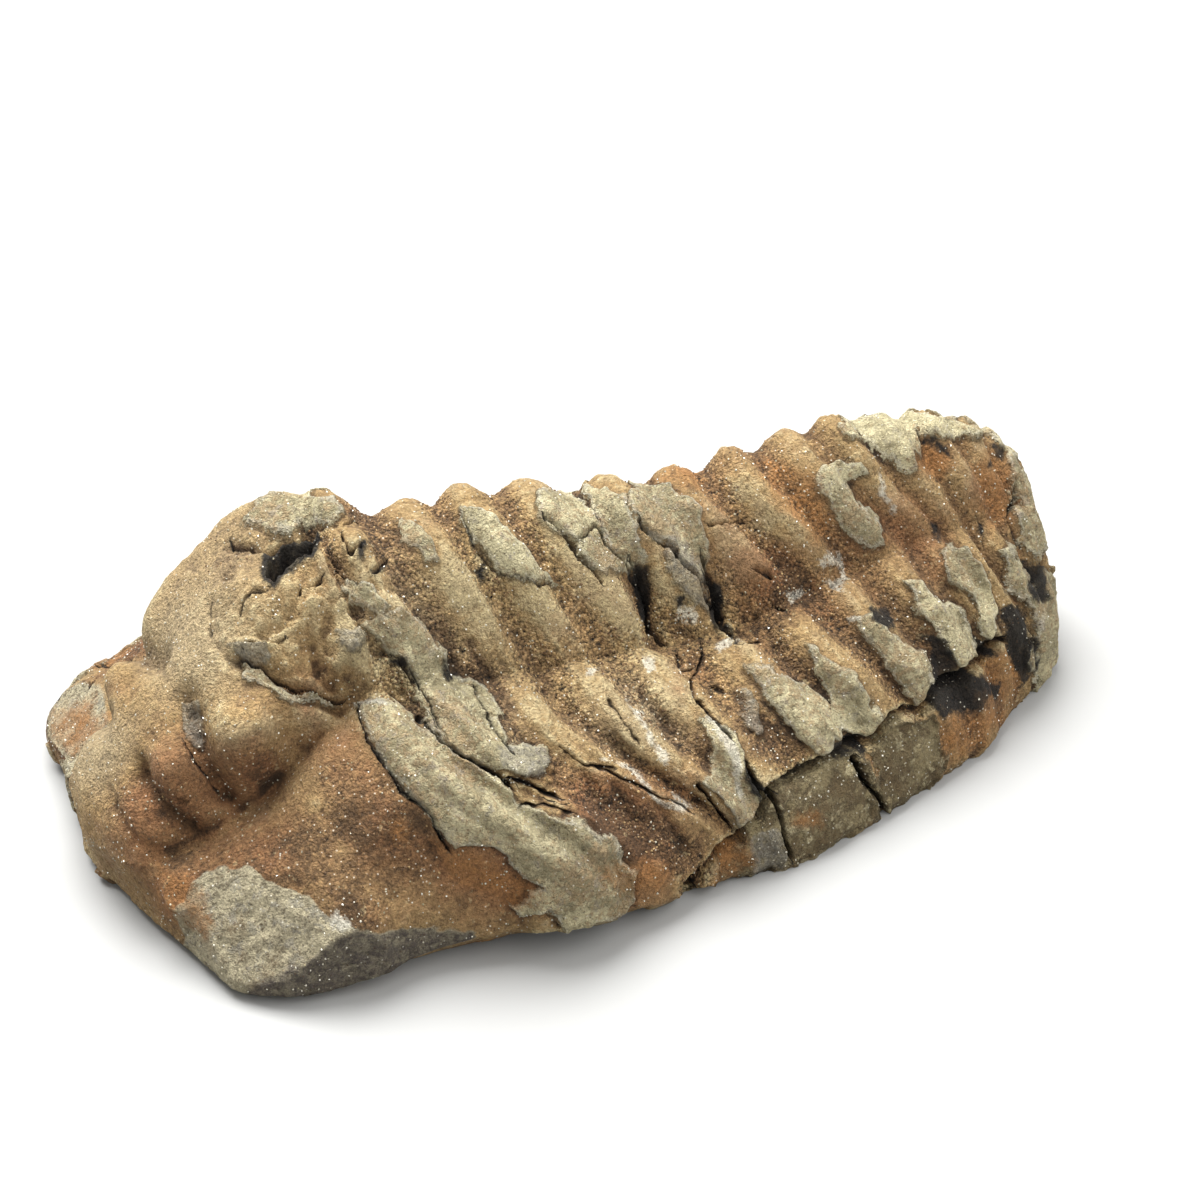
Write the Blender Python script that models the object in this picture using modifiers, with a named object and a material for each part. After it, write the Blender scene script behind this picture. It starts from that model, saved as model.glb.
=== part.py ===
"""A fossil trilobite in one piece of stone.

The animal lies on its belly along X, head towards -X and tail towards +X.  Its body is a
loft: one station line for each ring, running from the crest over the middle lobe, down
into the furrow beside it and out along the rib to the edge.  The near side (-Y) and the
far side (+Y) meet in the mid-plane and are closed below by a rough bed.  Broken corners,
the burrow hole and the long flank crack are cut out of the loft, and the bed is cut flat
at Z = 0, which is what the fossil rests on.
"""

import math

import bmesh
import bpy
import numpy as np
from mathutils import Matrix, Vector, noise

MM = 0.001                      # every size below is in millimetres

# ---------------------------------------------------------------- driving dimensions
NAME = "trilobite"
MIDDLE = (5.61, -0.1)           # centre of the outline, moved to the origin
NEAR, FAR = -1, 1               # the two sides of the mid-plane

# One row for each station, head first.
# crest x, crest z | furrow y, x, z | near edge x, y, z | far edge x, y, z
HEAD_ROWS = (
    (-36.7, 5.0, 0.0, -36.7, 5.0, -35.8, 0.0, 1.2, -35.8, 0.0, 1.2),
    (-36.2, 8.0, 4.5, -36.1, 5.7, -35.2, 3.6, 0.6, -35.4, 6.0, 1.2),
    (-35.2, 10.2, 7.0, -35.0, 6.5, -34.2, 6.8, 0.4, -34.2, 11.0, 1.0),
    (-32.9, 13.3, 8.2, -32.9, 7.2, -32.8, 11.4, 0.4, -34.0, 16.2, 0.7),
    (-29.8, 16.9, 8.5, -29.8, 8.0, -31.1, 17.3, 0.5, -31.4, 20.4, 0.5),
    (-26.6, 20.5, 8.6, -26.6, 9.8, -25.5, 19.9, 1.0, -25.0, 22.5, 0.5),
    (-23.6, 23.2, 8.6, -23.4, 12.6, -17.5, 20.8, 2.2, -18.0, 23.5, 1.0),
    (-20.6, 24.6, 8.6, -19.6, 15.8, -10.5, 22.2, 3.0, -11.0, 24.0, 2.0),
)
RING_ROWS = (
    (-17.6, 25.2, 8.6, -16.2, 17.0, -5.0, 23.5, 3.0, -5.0, 24.0, 2.0),
    (-14.6, 25.9, 8.6, -12.0, 16.6, 0.5, 23.2, 2.2, 0.5, 23.6, 1.5),
    (-8.6, 26.2, 8.5, -4.9, 15.5, 8.4, 22.0, 0.4, 7.0, 22.6, 0.4),
    (-4.1, 26.3, 8.4, 0.6, 15.0, 11.2, 22.0, 0.0, 10.8, 22.2, 0.0),
    (1.7, 25.0, 8.1, 6.6, 14.3, 14.0, 21.8, 0.0, 15.4, 21.8, 0.0),
    (8.1, 23.4, 7.7, 13.8, 13.3, 21.2, 20.4, 0.0, 22.4, 20.2, 0.0),
    (14.0, 22.8, 7.3, 19.4, 13.9, 26.8, 18.6, 0.0, 27.0, 19.1, 0.0),
    (18.8, 23.3, 6.9, 24.4, 14.8, 30.8, 16.9, 0.0, 31.0, 17.6, 0.0),
    (23.7, 23.7, 6.5, 29.2, 15.1, 34.7, 15.6, 0.0, 34.8, 15.8, 0.0),
    (27.8, 23.9, 6.0, 33.4, 15.3, 37.9, 13.2, 0.0, 38.2, 13.8, 0.0),
    (32.2, 23.2, 5.6, 36.2, 15.0, 40.6, 11.7, 0.0, 40.8, 12.1, 0.0),
    (36.3, 22.2, 5.2, 38.9, 14.7, 43.0, 10.2, 0.0, 43.0, 10.2, 0.0),
    (40.0, 20.4, 4.5, 41.8, 14.4, 45.2, 7.8, 0.0, 45.2, 7.8, 0.0),
    (43.1, 18.2, 3.3, 44.4, 13.8, 47.0, 4.8, 0.0, 47.0, 4.8, 0.0),
    (45.7, 15.4, 0.0, 45.7, 15.4, 48.0, 0.0, 0.0, 48.0, 0.0, 0.0),
)
FIRST_RING = len(HEAD_ROWS)
LAST_STATION = len(HEAD_ROWS) + len(RING_ROWS) - 1

# Grid of the loft before it is thinned: lines along the body and columns across it.
LINES_PER_STATION = 9
LOBE_COLUMNS, RIB_COLUMNS, BED_COLUMNS = 12, 22, 16
KEPT_SHARE = 0.26               # share of the triangles that the thinning keeps

LOBE_POWER = 2.4                # how flat the middle lobe is across its top
RIB_SWEEP = (3.0, 2.4)          # how late the ribs turn back, at the head and at the tail
BED_DEPTH = 2.0                 # how far the loft reaches below the ground cut
HEART = (-22.0, 34.0, 3.0)      # line inside the body that reliefs are raised away from

# Crest to furrow of a ring, at shares of the way out: crest, lobe's side, furrow, rib, edge.
RING_SHARES, RING_HEIGHTS = (0.0, 0.5, 1.0, 1.3, 2.0), (1.1, 1.5, 1.5, 1.6, 0.6)
RING_BREADTH = 1.4              # above 1 the rings are broad and the furrows narrow
TAIL_CALM = 0.45                # how much lower the rings are on the tail
ROUGHNESS = ((6.0, 0.55), (2.6, 0.22))      # lump size, height

# Rounded lumps: centre, radius, height.
LUMPS = (
    ((-25.8, -6.8, 15.2), 3.0, 2.6),        # hind lobes of the glabella
    ((-25.8, 6.8, 15.2), 3.0, 2.6),
    ((-31.0, -5.4, 12.8), 2.4, 1.8),        # middle lobes
    ((-30.0, 6.6, 13.0), 2.8, 2.4),
    ((-17.2, -7.0, 20.4), 1.9, 1.0),        # knobs at the ends of the neck ring
    ((-21.6, 8.8, 18.0), 5.0, 5.2),         # raised block on the far side of the neck
    ((-16.6, 6.6, 22.0), 4.4, 3.5),
    ((-17.6, 7.0, 22.2), 2.0, 0.4),
    ((-12.8, 4.8, 23.8), 2.3, 1.5),
    ((-25.4, -18.4, 6.0), 5.2, 2.6),        # rock left at the near front corner
    ((-33.0, 15.5, 5.0), 5.0, 0.9),         # rock left at the far front corner
    ((-33.2, -10.6, 5.6), 1.8, 0.8),        # stained bump in front of the near corner
)

# Furrows: width, depth, points.
FURROWS = (
    (1.2, 1.6, ((-28.8, -2.8, 17.4), (-28.5, -5.7, 14.6), (-28.2, -7.6, 11.5))),
    (1.1, 1.2, ((-33.1, -3.8, 12.3), (-32.4, -5.9, 11.2), (-31.3, -7.6, 9.3))),
    (1.3, 1.1, ((-32.8, -8.1, 7.5), (-27.2, -8.6, 9.9), (-22.2, -8.9, 13.7), (-18.2, -8.4, 17.2))),
    (1.6, 1.4, ((-24.6, -8.8, 12.0), (-22.6, -8.2, 15.0))),
    (0.7, 0.9, ((-24.7, -4.0, 20.6), (-21.3, -7.1, 18.3), (-18.2, -8.3, 17.2))),
    (0.9, 1.3, ((-19.6, -5.4, 21.8), (-18.8, -7.8, 18.2))),
    (1.2, 1.6, ((-28.8, 2.8, 17.4), (-28.5, 5.7, 14.6), (-28.2, 7.6, 11.5))),
    (1.1, 1.2, ((-33.1, 3.8, 12.3), (-32.4, 5.9, 11.2), (-31.3, 7.6, 9.3))),
    (1.0, 1.4, ((8.0, -5.4, 20.2), (8.3, -7.9, 14.4))),
    (0.9, 1.2, ((13.7, -6.6, 16.2), (15.2, -8.6, 13.2))),
)

# Plates of shell that stand proud, as outlines seen from above: height, points.
PLATES = (
    (0.9, ((-17.9, -8.4), (-17.8, -12.1), (-16.3, -17.9), (-15.0, -20.0), (-10.1, -22.0),
           (-8.4, -25.5), (-1.5, -25.5), (-3.6, -22.0), (-6.2, -20.4), (-9.8, -17.7),
           (-12.0, -15.4), (-13.1, -12.4), (-15.1, -8.5))),
    (0.9, ((-16.4, -5.6), (-12.5, -5.2), (-9.9, -7.4), (-8.0, -10.4), (-6.6, -14.9),
           (-5.0, -17.2), (-9.8, -17.4), (-12.2, -11.4), (-13.6, -7.6))),
)

# Broken corners: a point on the break, the direction it faces, and the cutter's width.
BREAKS = {
    "near_corner_top": ((-29.3, -17.1, 4.3), (-0.62, -0.52, 0.58), 18.0),
    "near_corner_side": ((-23.6, -20.9, 4.0), (-0.16, -0.98, -0.06), 20.0),
    "near_corner_front": ((-33.9, -14.0, 3.0), (-0.93, -0.33, 0.16), 20.0),
    "far_corner_top": ((-34.5, 15.0, 2.9), (-0.68, 0.22, 0.70), 18.0),
}
BREAK_REACH = 8.0               # how far a break's cutter extends outwards

# The long open crack in the near flank, head end first, and how it is cut.
CRACK = ((4.4, -22.0, 0.6), (5.6, -21.9, 3.2), (8.2, -21.3, 4.8), (10.7, -20.4, 6.7),
         (14.8, -19.6, 7.2), (20.8, -18.1, 7.0), (24.9, -17.1, 7.6), (28.4, -16.4, 7.3),
         (34.4, -14.0, 7.6), (37.8, -12.1, 7.9))
CRACK_WIDTH, CRACK_DEPTH, CRACK_PROUD = 0.8, 2.6, 2.5
SLAB_CRACKS = (((11.9, -20.4, 6.6), (12.6, -21.8, -0.5)), ((20.1, -18.6, 7.0), (22.4, -20.2, 0.6)))

# The burrow hole beside the raised block.
HOLE_CENTRE, HOLE_RADII, HOLE_TURN = (-18.3, 1.4, 24.8), (3.0, 1.3, 3.0), 26.0
PLATE_EDGE = 0.6                # half the width of the step at a plate's edge

STONE_COLOUR = (0.235, 0.165, 0.105, 1.0)
STONE_ROUGHNESS = 0.9


def clear_scene():
    """Remove whatever the file was opened with."""
    for thing in list(bpy.data.objects):
        bpy.data.objects.remove(thing, do_unlink=True)


def new_collection(name):
    group = bpy.data.collections.new(name)
    bpy.context.scene.collection.children.link(group)
    return group


def read_column(rows, column, place):
    """One column between the stations: a cubic through the rows that never overshoots."""
    values = np.array([row[column] for row in rows])
    steps = np.diff(values)
    same_way = steps[1:] * steps[:-1] > 0
    total = np.where(same_way, steps[1:] + steps[:-1], 1.0)
    slopes = np.concatenate((steps[:1], np.where(same_way, 2 * steps[1:] * steps[:-1] / total, 0.0),
                             steps[-1:]))
    start = np.clip(place.astype(int), 0, len(values) - 2)
    t = place - start
    return (values[start] * (2 * t**3 - 3 * t**2 + 1) + slopes[start] * (t**3 - 2 * t**2 + t)
            + values[start + 1] * (3 * t**2 - 2 * t**3) + slopes[start + 1] * (t**3 - t**2))


def ramp(values, low, high):
    """0 below low, 1 above high, and a smooth step between them."""
    t = np.clip((values - low) / (high - low), 0.0, 1.0)
    return t * t * (3 - 2 * t)


def lay_half(side, station):
    """Points of one half, from the crest to the edge, for every line along the body."""
    rows = HEAD_ROWS + RING_ROWS
    crest_x, crest_z, lobe_y, lobe_x, lobe_z = (
        read_column(rows, column, station)[:, None] for column in range(5))
    first = 5 if side == NEAR else 8
    edge_x, edge_y, edge_z = (
        read_column(rows, first + k, station)[:, None] for k in range(3))

    across = np.linspace(0, 1, LOBE_COLUMNS + 1)[None, :]
    lobe = (crest_x + (lobe_x - crest_x) * across**LOBE_POWER,
            lobe_y * across,
            lobe_z + (crest_z - lobe_z) * (1 - across**LOBE_POWER))

    angle = np.linspace(0, np.pi / 2, RIB_COLUMNS + 1)[None, 1:]
    out, up = np.sin(angle), np.cos(angle)
    late = RIB_SWEEP[0] + (RIB_SWEEP[1] - RIB_SWEEP[0]) * ramp(station, FIRST_RING + 2, FIRST_RING + 5)
    rib = (lobe_x + (edge_x - lobe_x) * out**late[:, None],
           lobe_y + (edge_y - lobe_y) * out,
           edge_z + (lobe_z - edge_z) * up)

    half = np.stack([np.concatenate(pair, axis=1) for pair in zip(lobe, rib)], axis=-1)
    half[..., 1] *= side
    return half


def lay_bed(far_edge, near_edge):
    """Underside between the two edges, deepest in the middle."""
    t = np.linspace(0, 1, BED_COLUMNS + 1)[None, 1:-1, None]
    bed = far_edge[:, None] * (1 - t) + near_edge[:, None] * t
    half_width = (far_edge[:, 1] - near_edge[:, 1])[:, None] / 2
    full = 1 - np.abs(2 * t[..., 0] - 1)**8
    bed[..., 2] -= np.minimum(half_width, BED_DEPTH + bed[..., 2]) * full
    return bed


def distance_to_path(points, path):
    """Shortest distance from each point to a broken line."""
    nearest = np.full(len(points), np.inf)
    for start, end in zip(path[:-1], path[1:]):
        start, run = np.array(start), np.array(end) - np.array(start)
        t = np.clip((points - start) @ run / (run @ run), 0.0, 1.0)
        nearest = np.minimum(nearest, np.linalg.norm(points - start - t[:, None] * run, axis=1))
    return nearest


def within_outline(points, outline):
    """Distance to a closed outline seen from above, positive within it."""
    inside = np.zeros(len(points), bool)
    x, y = points[:, 0], points[:, 1]
    for (ax, ay), (bx, by) in zip(outline, outline[1:] + outline[:1]):
        crosses = (ay > y) != (by > y)
        at = ax + (bx - ax) * (y - ay) / (by - ay if by != ay else 1.0)
        inside ^= crosses & (x < at)
    rim = distance_to_path(points * (1, 1, 0), [(*corner, 0.0) for corner in outline + outline[:1]])
    return np.where(inside, rim, -rim)


def outward(points):
    """Direction away from the line inside the body."""
    start, end, height = HEART
    heart = np.zeros_like(points)
    heart[:, 0] = np.clip(points[:, 0], start, end)
    heart[:, 2] = height
    way = points - heart
    way[:, 2] = np.maximum(way[:, 2], -0.3 * np.linalg.norm(way[:, :2], axis=1))
    return way / np.maximum(np.linalg.norm(way, axis=1), 1e-6)[:, None]


def ring_relief(station, column_share):
    """Height of rings and ribs: 1 on each station line, 0 in the furrow between two."""
    wave = 1 - (0.5 - 0.5 * np.cos(2 * np.pi * station))**RING_BREADTH
    present = ramp(station, FIRST_RING - 0.5, FIRST_RING + 0.2)
    present *= 1 - ramp(station, LAST_STATION - 1.6, LAST_STATION - 0.6)
    in_furrow = np.exp(-((column_share - 1.0) / 0.12)**2)
    height = np.interp(column_share, RING_SHARES, RING_HEIGHTS)
    height *= 1 - TAIL_CALM * ramp(station, FIRST_RING + 6, LAST_STATION - 1)
    return (wave - 0.6) * height * present * (1 - 0.5 * in_furrow)


def rough(points):
    """Uneven lumps of the weathered stone."""
    height = np.zeros(len(points))
    for size, amount in ROUGHNESS:
        height += amount * np.array([noise.noise(Vector(p) / size) for p in points])
    return height


def shape_surface(points, station, share, top):
    """Raise rings, lobes and plates and sink furrows, all away from the heart line."""
    height = rough(points)
    height[top] += ring_relief(station[top], share[top])
    for centre, radius, amount in LUMPS:
        away = np.linalg.norm(points - np.array(centre), axis=1) / radius
        height += amount * np.exp(-away**2) * top
    for width, depth, path in FURROWS:
        height -= depth * np.exp(-(distance_to_path(points, path) / width)**2) * top
    for amount, outline in PLATES:
        height += amount * ramp(within_outline(points, outline), -PLATE_EDGE, PLATE_EDGE) * top
    return points + outward(points) * height[:, None]


def lay_grid():
    """The closed grid of the whole body: points, and the number of columns round it."""
    station = np.linspace(0, LAST_STATION, LINES_PER_STATION * LAST_STATION + 1)
    near, far = lay_half(NEAR, station), lay_half(FAR, station)
    bed = lay_bed(far[:, -1], near[:, -1])
    grid = np.concatenate((near[:, ::-1], far[:, 1:], bed), axis=1)

    lobe_share = np.linspace(0, 1, LOBE_COLUMNS + 1)
    half_share = np.concatenate((lobe_share, 1 + np.linspace(0, 1, RIB_COLUMNS + 1)[1:]))
    share = np.concatenate((half_share[::-1], half_share[1:], np.full(BED_COLUMNS - 1, 2.0)))
    top = np.arange(len(share)) < 2 * len(half_share) - 1

    lines, columns = grid.shape[:2]
    points = shape_surface(grid.reshape(-1, 3), np.repeat(station, columns),
                           np.tile(share, lines), np.tile(top, lines))
    return points, lines, columns


def build_body(group):
    """Join the grid into one closed mesh and thin it where it is flat."""
    points, lines, columns = lay_grid()
    shape = bmesh.new()
    corners = [shape.verts.new(point) for point in points * MM]
    for line in range(lines - 1):
        for column in range(columns):
            beside = (column + 1) % columns
            here, ahead = line * columns, (line + 1) * columns
            shape.faces.new((corners[here + column], corners[ahead + column],
                             corners[ahead + beside], corners[here + beside]))
    bmesh.ops.remove_doubles(shape, verts=shape.verts, dist=0.01 * MM)
    bmesh.ops.recalc_face_normals(shape, faces=shape.faces)
    mesh = bpy.data.meshes.new(NAME)
    shape.to_mesh(mesh)
    shape.free()
    body = bpy.data.objects.new(NAME, mesh)
    group.objects.link(body)
    thin = body.modifiers.new("thin", "DECIMATE")
    thin.ratio = KEPT_SHARE
    return body


def add_cutter(name, mesh, group):
    cutter = bpy.data.objects.new(name, mesh)
    cutter.hide_render = True
    cutter.display_type = "WIRE"
    group.objects.link(cutter)
    return cutter


def block_mesh(name, size):
    """A box with the middle of its lowest face at the origin."""
    shape = bmesh.new()
    bmesh.ops.create_cube(shape, size=1.0)
    bmesh.ops.translate(shape, verts=shape.verts, vec=(0, 0, 0.5))
    bmesh.ops.scale(shape, verts=shape.verts, vec=[side * MM for side in size])
    mesh = bpy.data.meshes.new(name)
    shape.to_mesh(mesh)
    shape.free()
    return mesh


def break_cutters(group):
    """A box on each broken corner, its lowest face on the break."""
    cutters = []
    for name, (point, facing, width) in BREAKS.items():
        cutter = add_cutter(name, block_mesh(name, (width, width, BREAK_REACH)), group)
        turn = Vector(facing).to_track_quat("Z", "Y").to_matrix().to_4x4()
        cutter.matrix_world = Matrix.Translation(Vector(point) * MM) @ turn
        cutters.append(cutter)
    return cutters


def ribbon_cutter(name, path, width, group):
    """A slit that follows a path on the flank and reaches into the body."""
    path = np.array(path)
    inward = -outward(path)
    inward[:, 2] = -0.25
    rims = np.stack((path - inward * CRACK_PROUD, path + inward * CRACK_DEPTH), axis=1)
    shape = bmesh.new()
    corners = [[shape.verts.new(point) for point in pair] for pair in rims * MM]
    for here, ahead in zip(corners[:-1], corners[1:]):
        shape.faces.new((here[0], ahead[0], ahead[1], here[1]))
    mesh = bpy.data.meshes.new(name)
    shape.to_mesh(mesh)
    shape.free()
    cutter = add_cutter(name, mesh, group)
    wall = cutter.modifiers.new("wall", "SOLIDIFY")
    wall.thickness = width * MM
    wall.offset = 0.0
    return cutter


def hole_cutter(group):
    shape = bmesh.new()
    bmesh.ops.create_uvsphere(shape, u_segments=16, v_segments=10, radius=1.0)
    bmesh.ops.scale(shape, verts=shape.verts, vec=[radius * MM for radius in HOLE_RADII])
    mesh = bpy.data.meshes.new("hole")
    shape.to_mesh(mesh)
    shape.free()
    cutter = add_cutter("hole", mesh, group)
    cutter.location = Vector(HOLE_CENTRE) * MM
    cutter.rotation_euler = (0, 0, math.radians(HOLE_TURN))
    return cutter


def ground_cutter(group):
    """Everything below Z = 0, so that the bed ends in one flat face."""
    mesh = block_mesh("ground", (120, 80, 10))
    cutter = add_cutter("ground", mesh, group)
    cutter.rotation_euler = (math.pi, 0, 0)
    cutter.location = (MIDDLE[0] * MM, MIDDLE[1] * MM, 0)
    return cutter


def cut(body, cutters):
    for cutter in cutters:
        step = body.modifiers.new(cutter.name, "BOOLEAN")
        step.operation = "DIFFERENCE"
        step.solver = "EXACT"
        step.object = cutter


def stone_material():
    stone = bpy.data.materials.new("stone")
    stone.use_nodes = True
    finish = stone.node_tree.nodes["Principled BSDF"]
    finish.inputs["Base Color"].default_value = STONE_COLOUR
    finish.inputs["Roughness"].default_value = STONE_ROUGHNESS
    return stone


def main():
    clear_scene()
    parts = new_collection("trilobite_fossil")
    tools = new_collection("cutters")
    body = build_body(parts)
    slits = [ribbon_cutter("flank_crack", CRACK, CRACK_WIDTH, tools)]
    slits += [ribbon_cutter(f"slab_crack_{k}", path, 0.5 * CRACK_WIDTH, tools)
              for k, path in enumerate(SLAB_CRACKS, 1)]
    cut(body, break_cutters(tools) + slits + [hole_cutter(tools), ground_cutter(tools)])
    body.data.materials.append(stone_material())
    body.data.shade_smooth()
    body.data.set_sharp_from_angle(angle=math.radians(40))
    for thing in parts.objects[:] + tools.objects[:]:
        thing.location.x -= MIDDLE[0] * MM
        thing.location.y -= MIDDLE[1] * MM


main()
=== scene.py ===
# %% [markdown]
# # A trilobite fossil
#
# The real thing is a stone cast of a trilobite: a brown, sandy mould of the inside of the
# shell, with grey plates of the shell itself still stuck to its ridges, split by cracks and
# broken off at the head's corners.  It is one lump of stone, so it is one mesh, and
# everything that gives the look is laid over that mesh: relief in millimetres, and a few
# numbers at each point that tell the material what the stone is made of there and where
# it paints light and shade.

# %% Load the frame
import math
from functools import partial

import bmesh
import bpy
import numpy as np
from mathutils import Euler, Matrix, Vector, noise


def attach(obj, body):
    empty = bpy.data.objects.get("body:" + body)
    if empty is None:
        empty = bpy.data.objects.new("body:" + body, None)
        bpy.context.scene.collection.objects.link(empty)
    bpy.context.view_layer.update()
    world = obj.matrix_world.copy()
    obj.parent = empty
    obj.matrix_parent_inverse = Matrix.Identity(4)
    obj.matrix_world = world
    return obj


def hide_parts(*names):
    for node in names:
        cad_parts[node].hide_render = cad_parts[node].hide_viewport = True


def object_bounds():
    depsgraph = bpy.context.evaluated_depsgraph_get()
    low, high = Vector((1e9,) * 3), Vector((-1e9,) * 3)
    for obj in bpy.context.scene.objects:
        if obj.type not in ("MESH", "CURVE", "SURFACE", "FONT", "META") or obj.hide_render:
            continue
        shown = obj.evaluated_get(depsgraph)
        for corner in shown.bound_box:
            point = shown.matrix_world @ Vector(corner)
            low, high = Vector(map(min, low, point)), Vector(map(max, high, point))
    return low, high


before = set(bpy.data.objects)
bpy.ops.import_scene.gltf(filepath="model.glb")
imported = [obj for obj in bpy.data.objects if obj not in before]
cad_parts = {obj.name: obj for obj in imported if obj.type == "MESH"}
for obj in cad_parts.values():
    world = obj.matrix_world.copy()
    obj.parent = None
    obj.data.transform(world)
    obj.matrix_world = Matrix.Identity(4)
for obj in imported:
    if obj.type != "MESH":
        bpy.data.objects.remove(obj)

MM = 0.001                      # sizes are in millimetres, the frame is in metres
NODE, BODY, SLOT = "trilobite", "root", "stone"
CAD_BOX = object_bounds()
LOWEST, HIGHEST = (np.array(corner) / MM for corner in CAD_BOX)
print("the solid's box, mm:", LOWEST.round(2), HIGHEST.round(2))

# %% [markdown]
# ## The camera
#
# The camera comes first, because much of the surface is dressed through it.  A crack or a
# plate edge that wanders over several ribs is hard to type in three dimensions, and easy to
# draw on the picture plane and throw onto the stone, as a projector would.  So one function
# gives each point its place on the picture, in 1/1200ths of the picture's width, x to the
# right and y down.  A picture unit is about 0.08 mm on the stone.

# %% Camera
PICTURE = 1200.0
FOCUS = 3870.0                          # focal length, in picture units
MIDDLE = np.array((5.61, -0.1, 0.0))    # the middle of the loft's own outline
EYE = np.array((-101.26, -224.64, 192.54))
PITCH, HEADING = 54.33, -25.74          # degrees

camera = bpy.data.objects.new("camera", bpy.data.cameras.new("camera"))
camera.location = Vector((EYE - MIDDLE) * MM)
camera.rotation_euler = Euler((math.radians(PITCH), 0.0, math.radians(HEADING)))
camera.data.sensor_width = 36.0
camera.data.lens = camera.data.sensor_width * FOCUS / PICTURE
camera.data.clip_start = 0.01
bpy.context.scene.collection.objects.link(camera)
bpy.context.scene.camera = camera

SIGHT_AXES = np.array(camera.rotation_euler.to_matrix())


def on_picture(points):
    """Place of each point on the picture, in picture units."""
    local = (points - EYE) @ SIGHT_AXES
    return PICTURE / 2 + FOCUS * np.stack((local[:, 0], -local[:, 1]), axis=1) / -local[:, 2:]


print("camera at", tuple(round(v, 4) for v in camera.location), "lens", round(camera.data.lens, 1))

# %% [markdown]
# ## The loft
#
# The body is a loft.  Each row below is one station: a ring of the animal, or a step along
# its head.  A line runs from the crest over the middle lobe, down into the furrow beside it
# and out along the rib to the edge; a cubic that never overshoots fills in between the rows.
# Sculpting by hand would give the same form once, but rows can be corrected one number at a
# time, and every later step can ask a point which ring it is on and how far out.

# %% Stations
# crest x, crest z | furrow y, x, z | near edge x, y, z | far edge x, y, z
HEAD_ROWS = (
    (-36.7, 5.0, 0.0, -36.7, 5.0, -35.8, 0.0, 1.2, -35.8, 0.0, 1.2),
    (-36.2, 8.0, 4.5, -36.1, 5.7, -35.2, 3.6, 0.6, -35.4, 6.0, 1.2),
    (-35.2, 10.2, 7.0, -35.0, 6.5, -34.2, 6.8, 0.4, -34.2, 11.0, 1.0),
    (-32.9, 13.3, 8.2, -32.9, 7.2, -32.8, 11.4, 0.4, -34.0, 16.2, 0.7),
    (-29.8, 16.9, 8.5, -29.8, 8.0, -31.1, 17.3, 0.5, -31.4, 20.4, 0.5),
    (-26.6, 20.5, 8.6, -26.6, 9.8, -25.5, 19.9, 1.0, -25.0, 22.5, 0.5),
    (-23.6, 23.2, 8.6, -23.4, 12.6, -17.5, 20.8, 2.2, -18.0, 23.5, 1.0),
    (-20.6, 24.6, 8.6, -19.6, 15.8, -10.5, 22.2, 3.0, -11.0, 24.0, 2.0),
)
RING_ROWS = (
    (-17.6, 25.2, 8.6, -16.2, 17.0, -5.0, 23.5, 3.0, -5.0, 24.0, 2.0),
    (-14.6, 25.9, 8.6, -12.0, 16.6, 0.5, 23.2, 2.2, 0.5, 23.6, 1.5),
    (-8.6, 26.2, 8.5, -4.9, 15.5, 8.4, 22.0, 0.4, 7.0, 22.6, 0.4),
    (-4.1, 26.3, 8.4, 0.6, 15.0, 11.2, 22.0, 0.0, 10.8, 22.2, 0.0),
    (1.7, 25.0, 8.1, 6.6, 14.3, 14.0, 21.8, 0.0, 15.4, 21.8, 0.0),
    (8.1, 23.4, 7.7, 13.8, 13.3, 21.2, 20.4, 0.0, 22.4, 20.2, 0.0),
    (14.0, 22.8, 7.3, 19.4, 13.9, 26.8, 18.6, 0.0, 27.0, 19.1, 0.0),
    (18.8, 23.3, 6.9, 24.4, 14.8, 30.8, 16.9, 0.0, 31.0, 17.6, 0.0),
    (23.7, 23.7, 6.5, 29.2, 15.1, 34.7, 15.6, 0.0, 34.8, 15.8, 0.0),
    (27.8, 23.9, 6.0, 33.4, 15.3, 37.9, 13.2, 0.0, 38.2, 13.8, 0.0),
    (32.2, 23.2, 5.6, 36.2, 15.0, 40.6, 11.7, 0.0, 40.8, 12.1, 0.0),
    (36.3, 22.2, 5.2, 38.9, 14.7, 43.0, 10.2, 0.0, 43.0, 10.2, 0.0),
    (40.0, 20.4, 4.5, 41.8, 14.4, 45.2, 7.8, 0.0, 45.2, 7.8, 0.0),
    (43.1, 18.2, 3.3, 44.4, 13.8, 47.0, 4.8, 0.0, 47.0, 4.8, 0.0),
    (45.7, 15.4, 0.0, 45.7, 15.4, 48.0, 0.0, 0.0, 48.0, 0.0, 0.0),
)
FIRST_RING = len(HEAD_ROWS)
LAST_STATION = len(HEAD_ROWS) + len(RING_ROWS) - 1

LINES_PER_STATION = 40
NEAR_RIB_COLUMNS, FAR_RIB_COLUMNS = ((190, 100))
LOBE_COLUMNS, BED_COLUMNS = ((100, 40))

LOBE_POWER = 2.4                # how flat the middle lobe is across its top
RIB_SWEEP = (3.0, 2.4)          # how late the ribs turn back, at the head and at the tail
BED_DEPTH = 2.0                 # how far the loft reaches below the ground
HEART = (-22.0, 34.0, 3.0)      # the line inside the body that relief is raised away from


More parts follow.
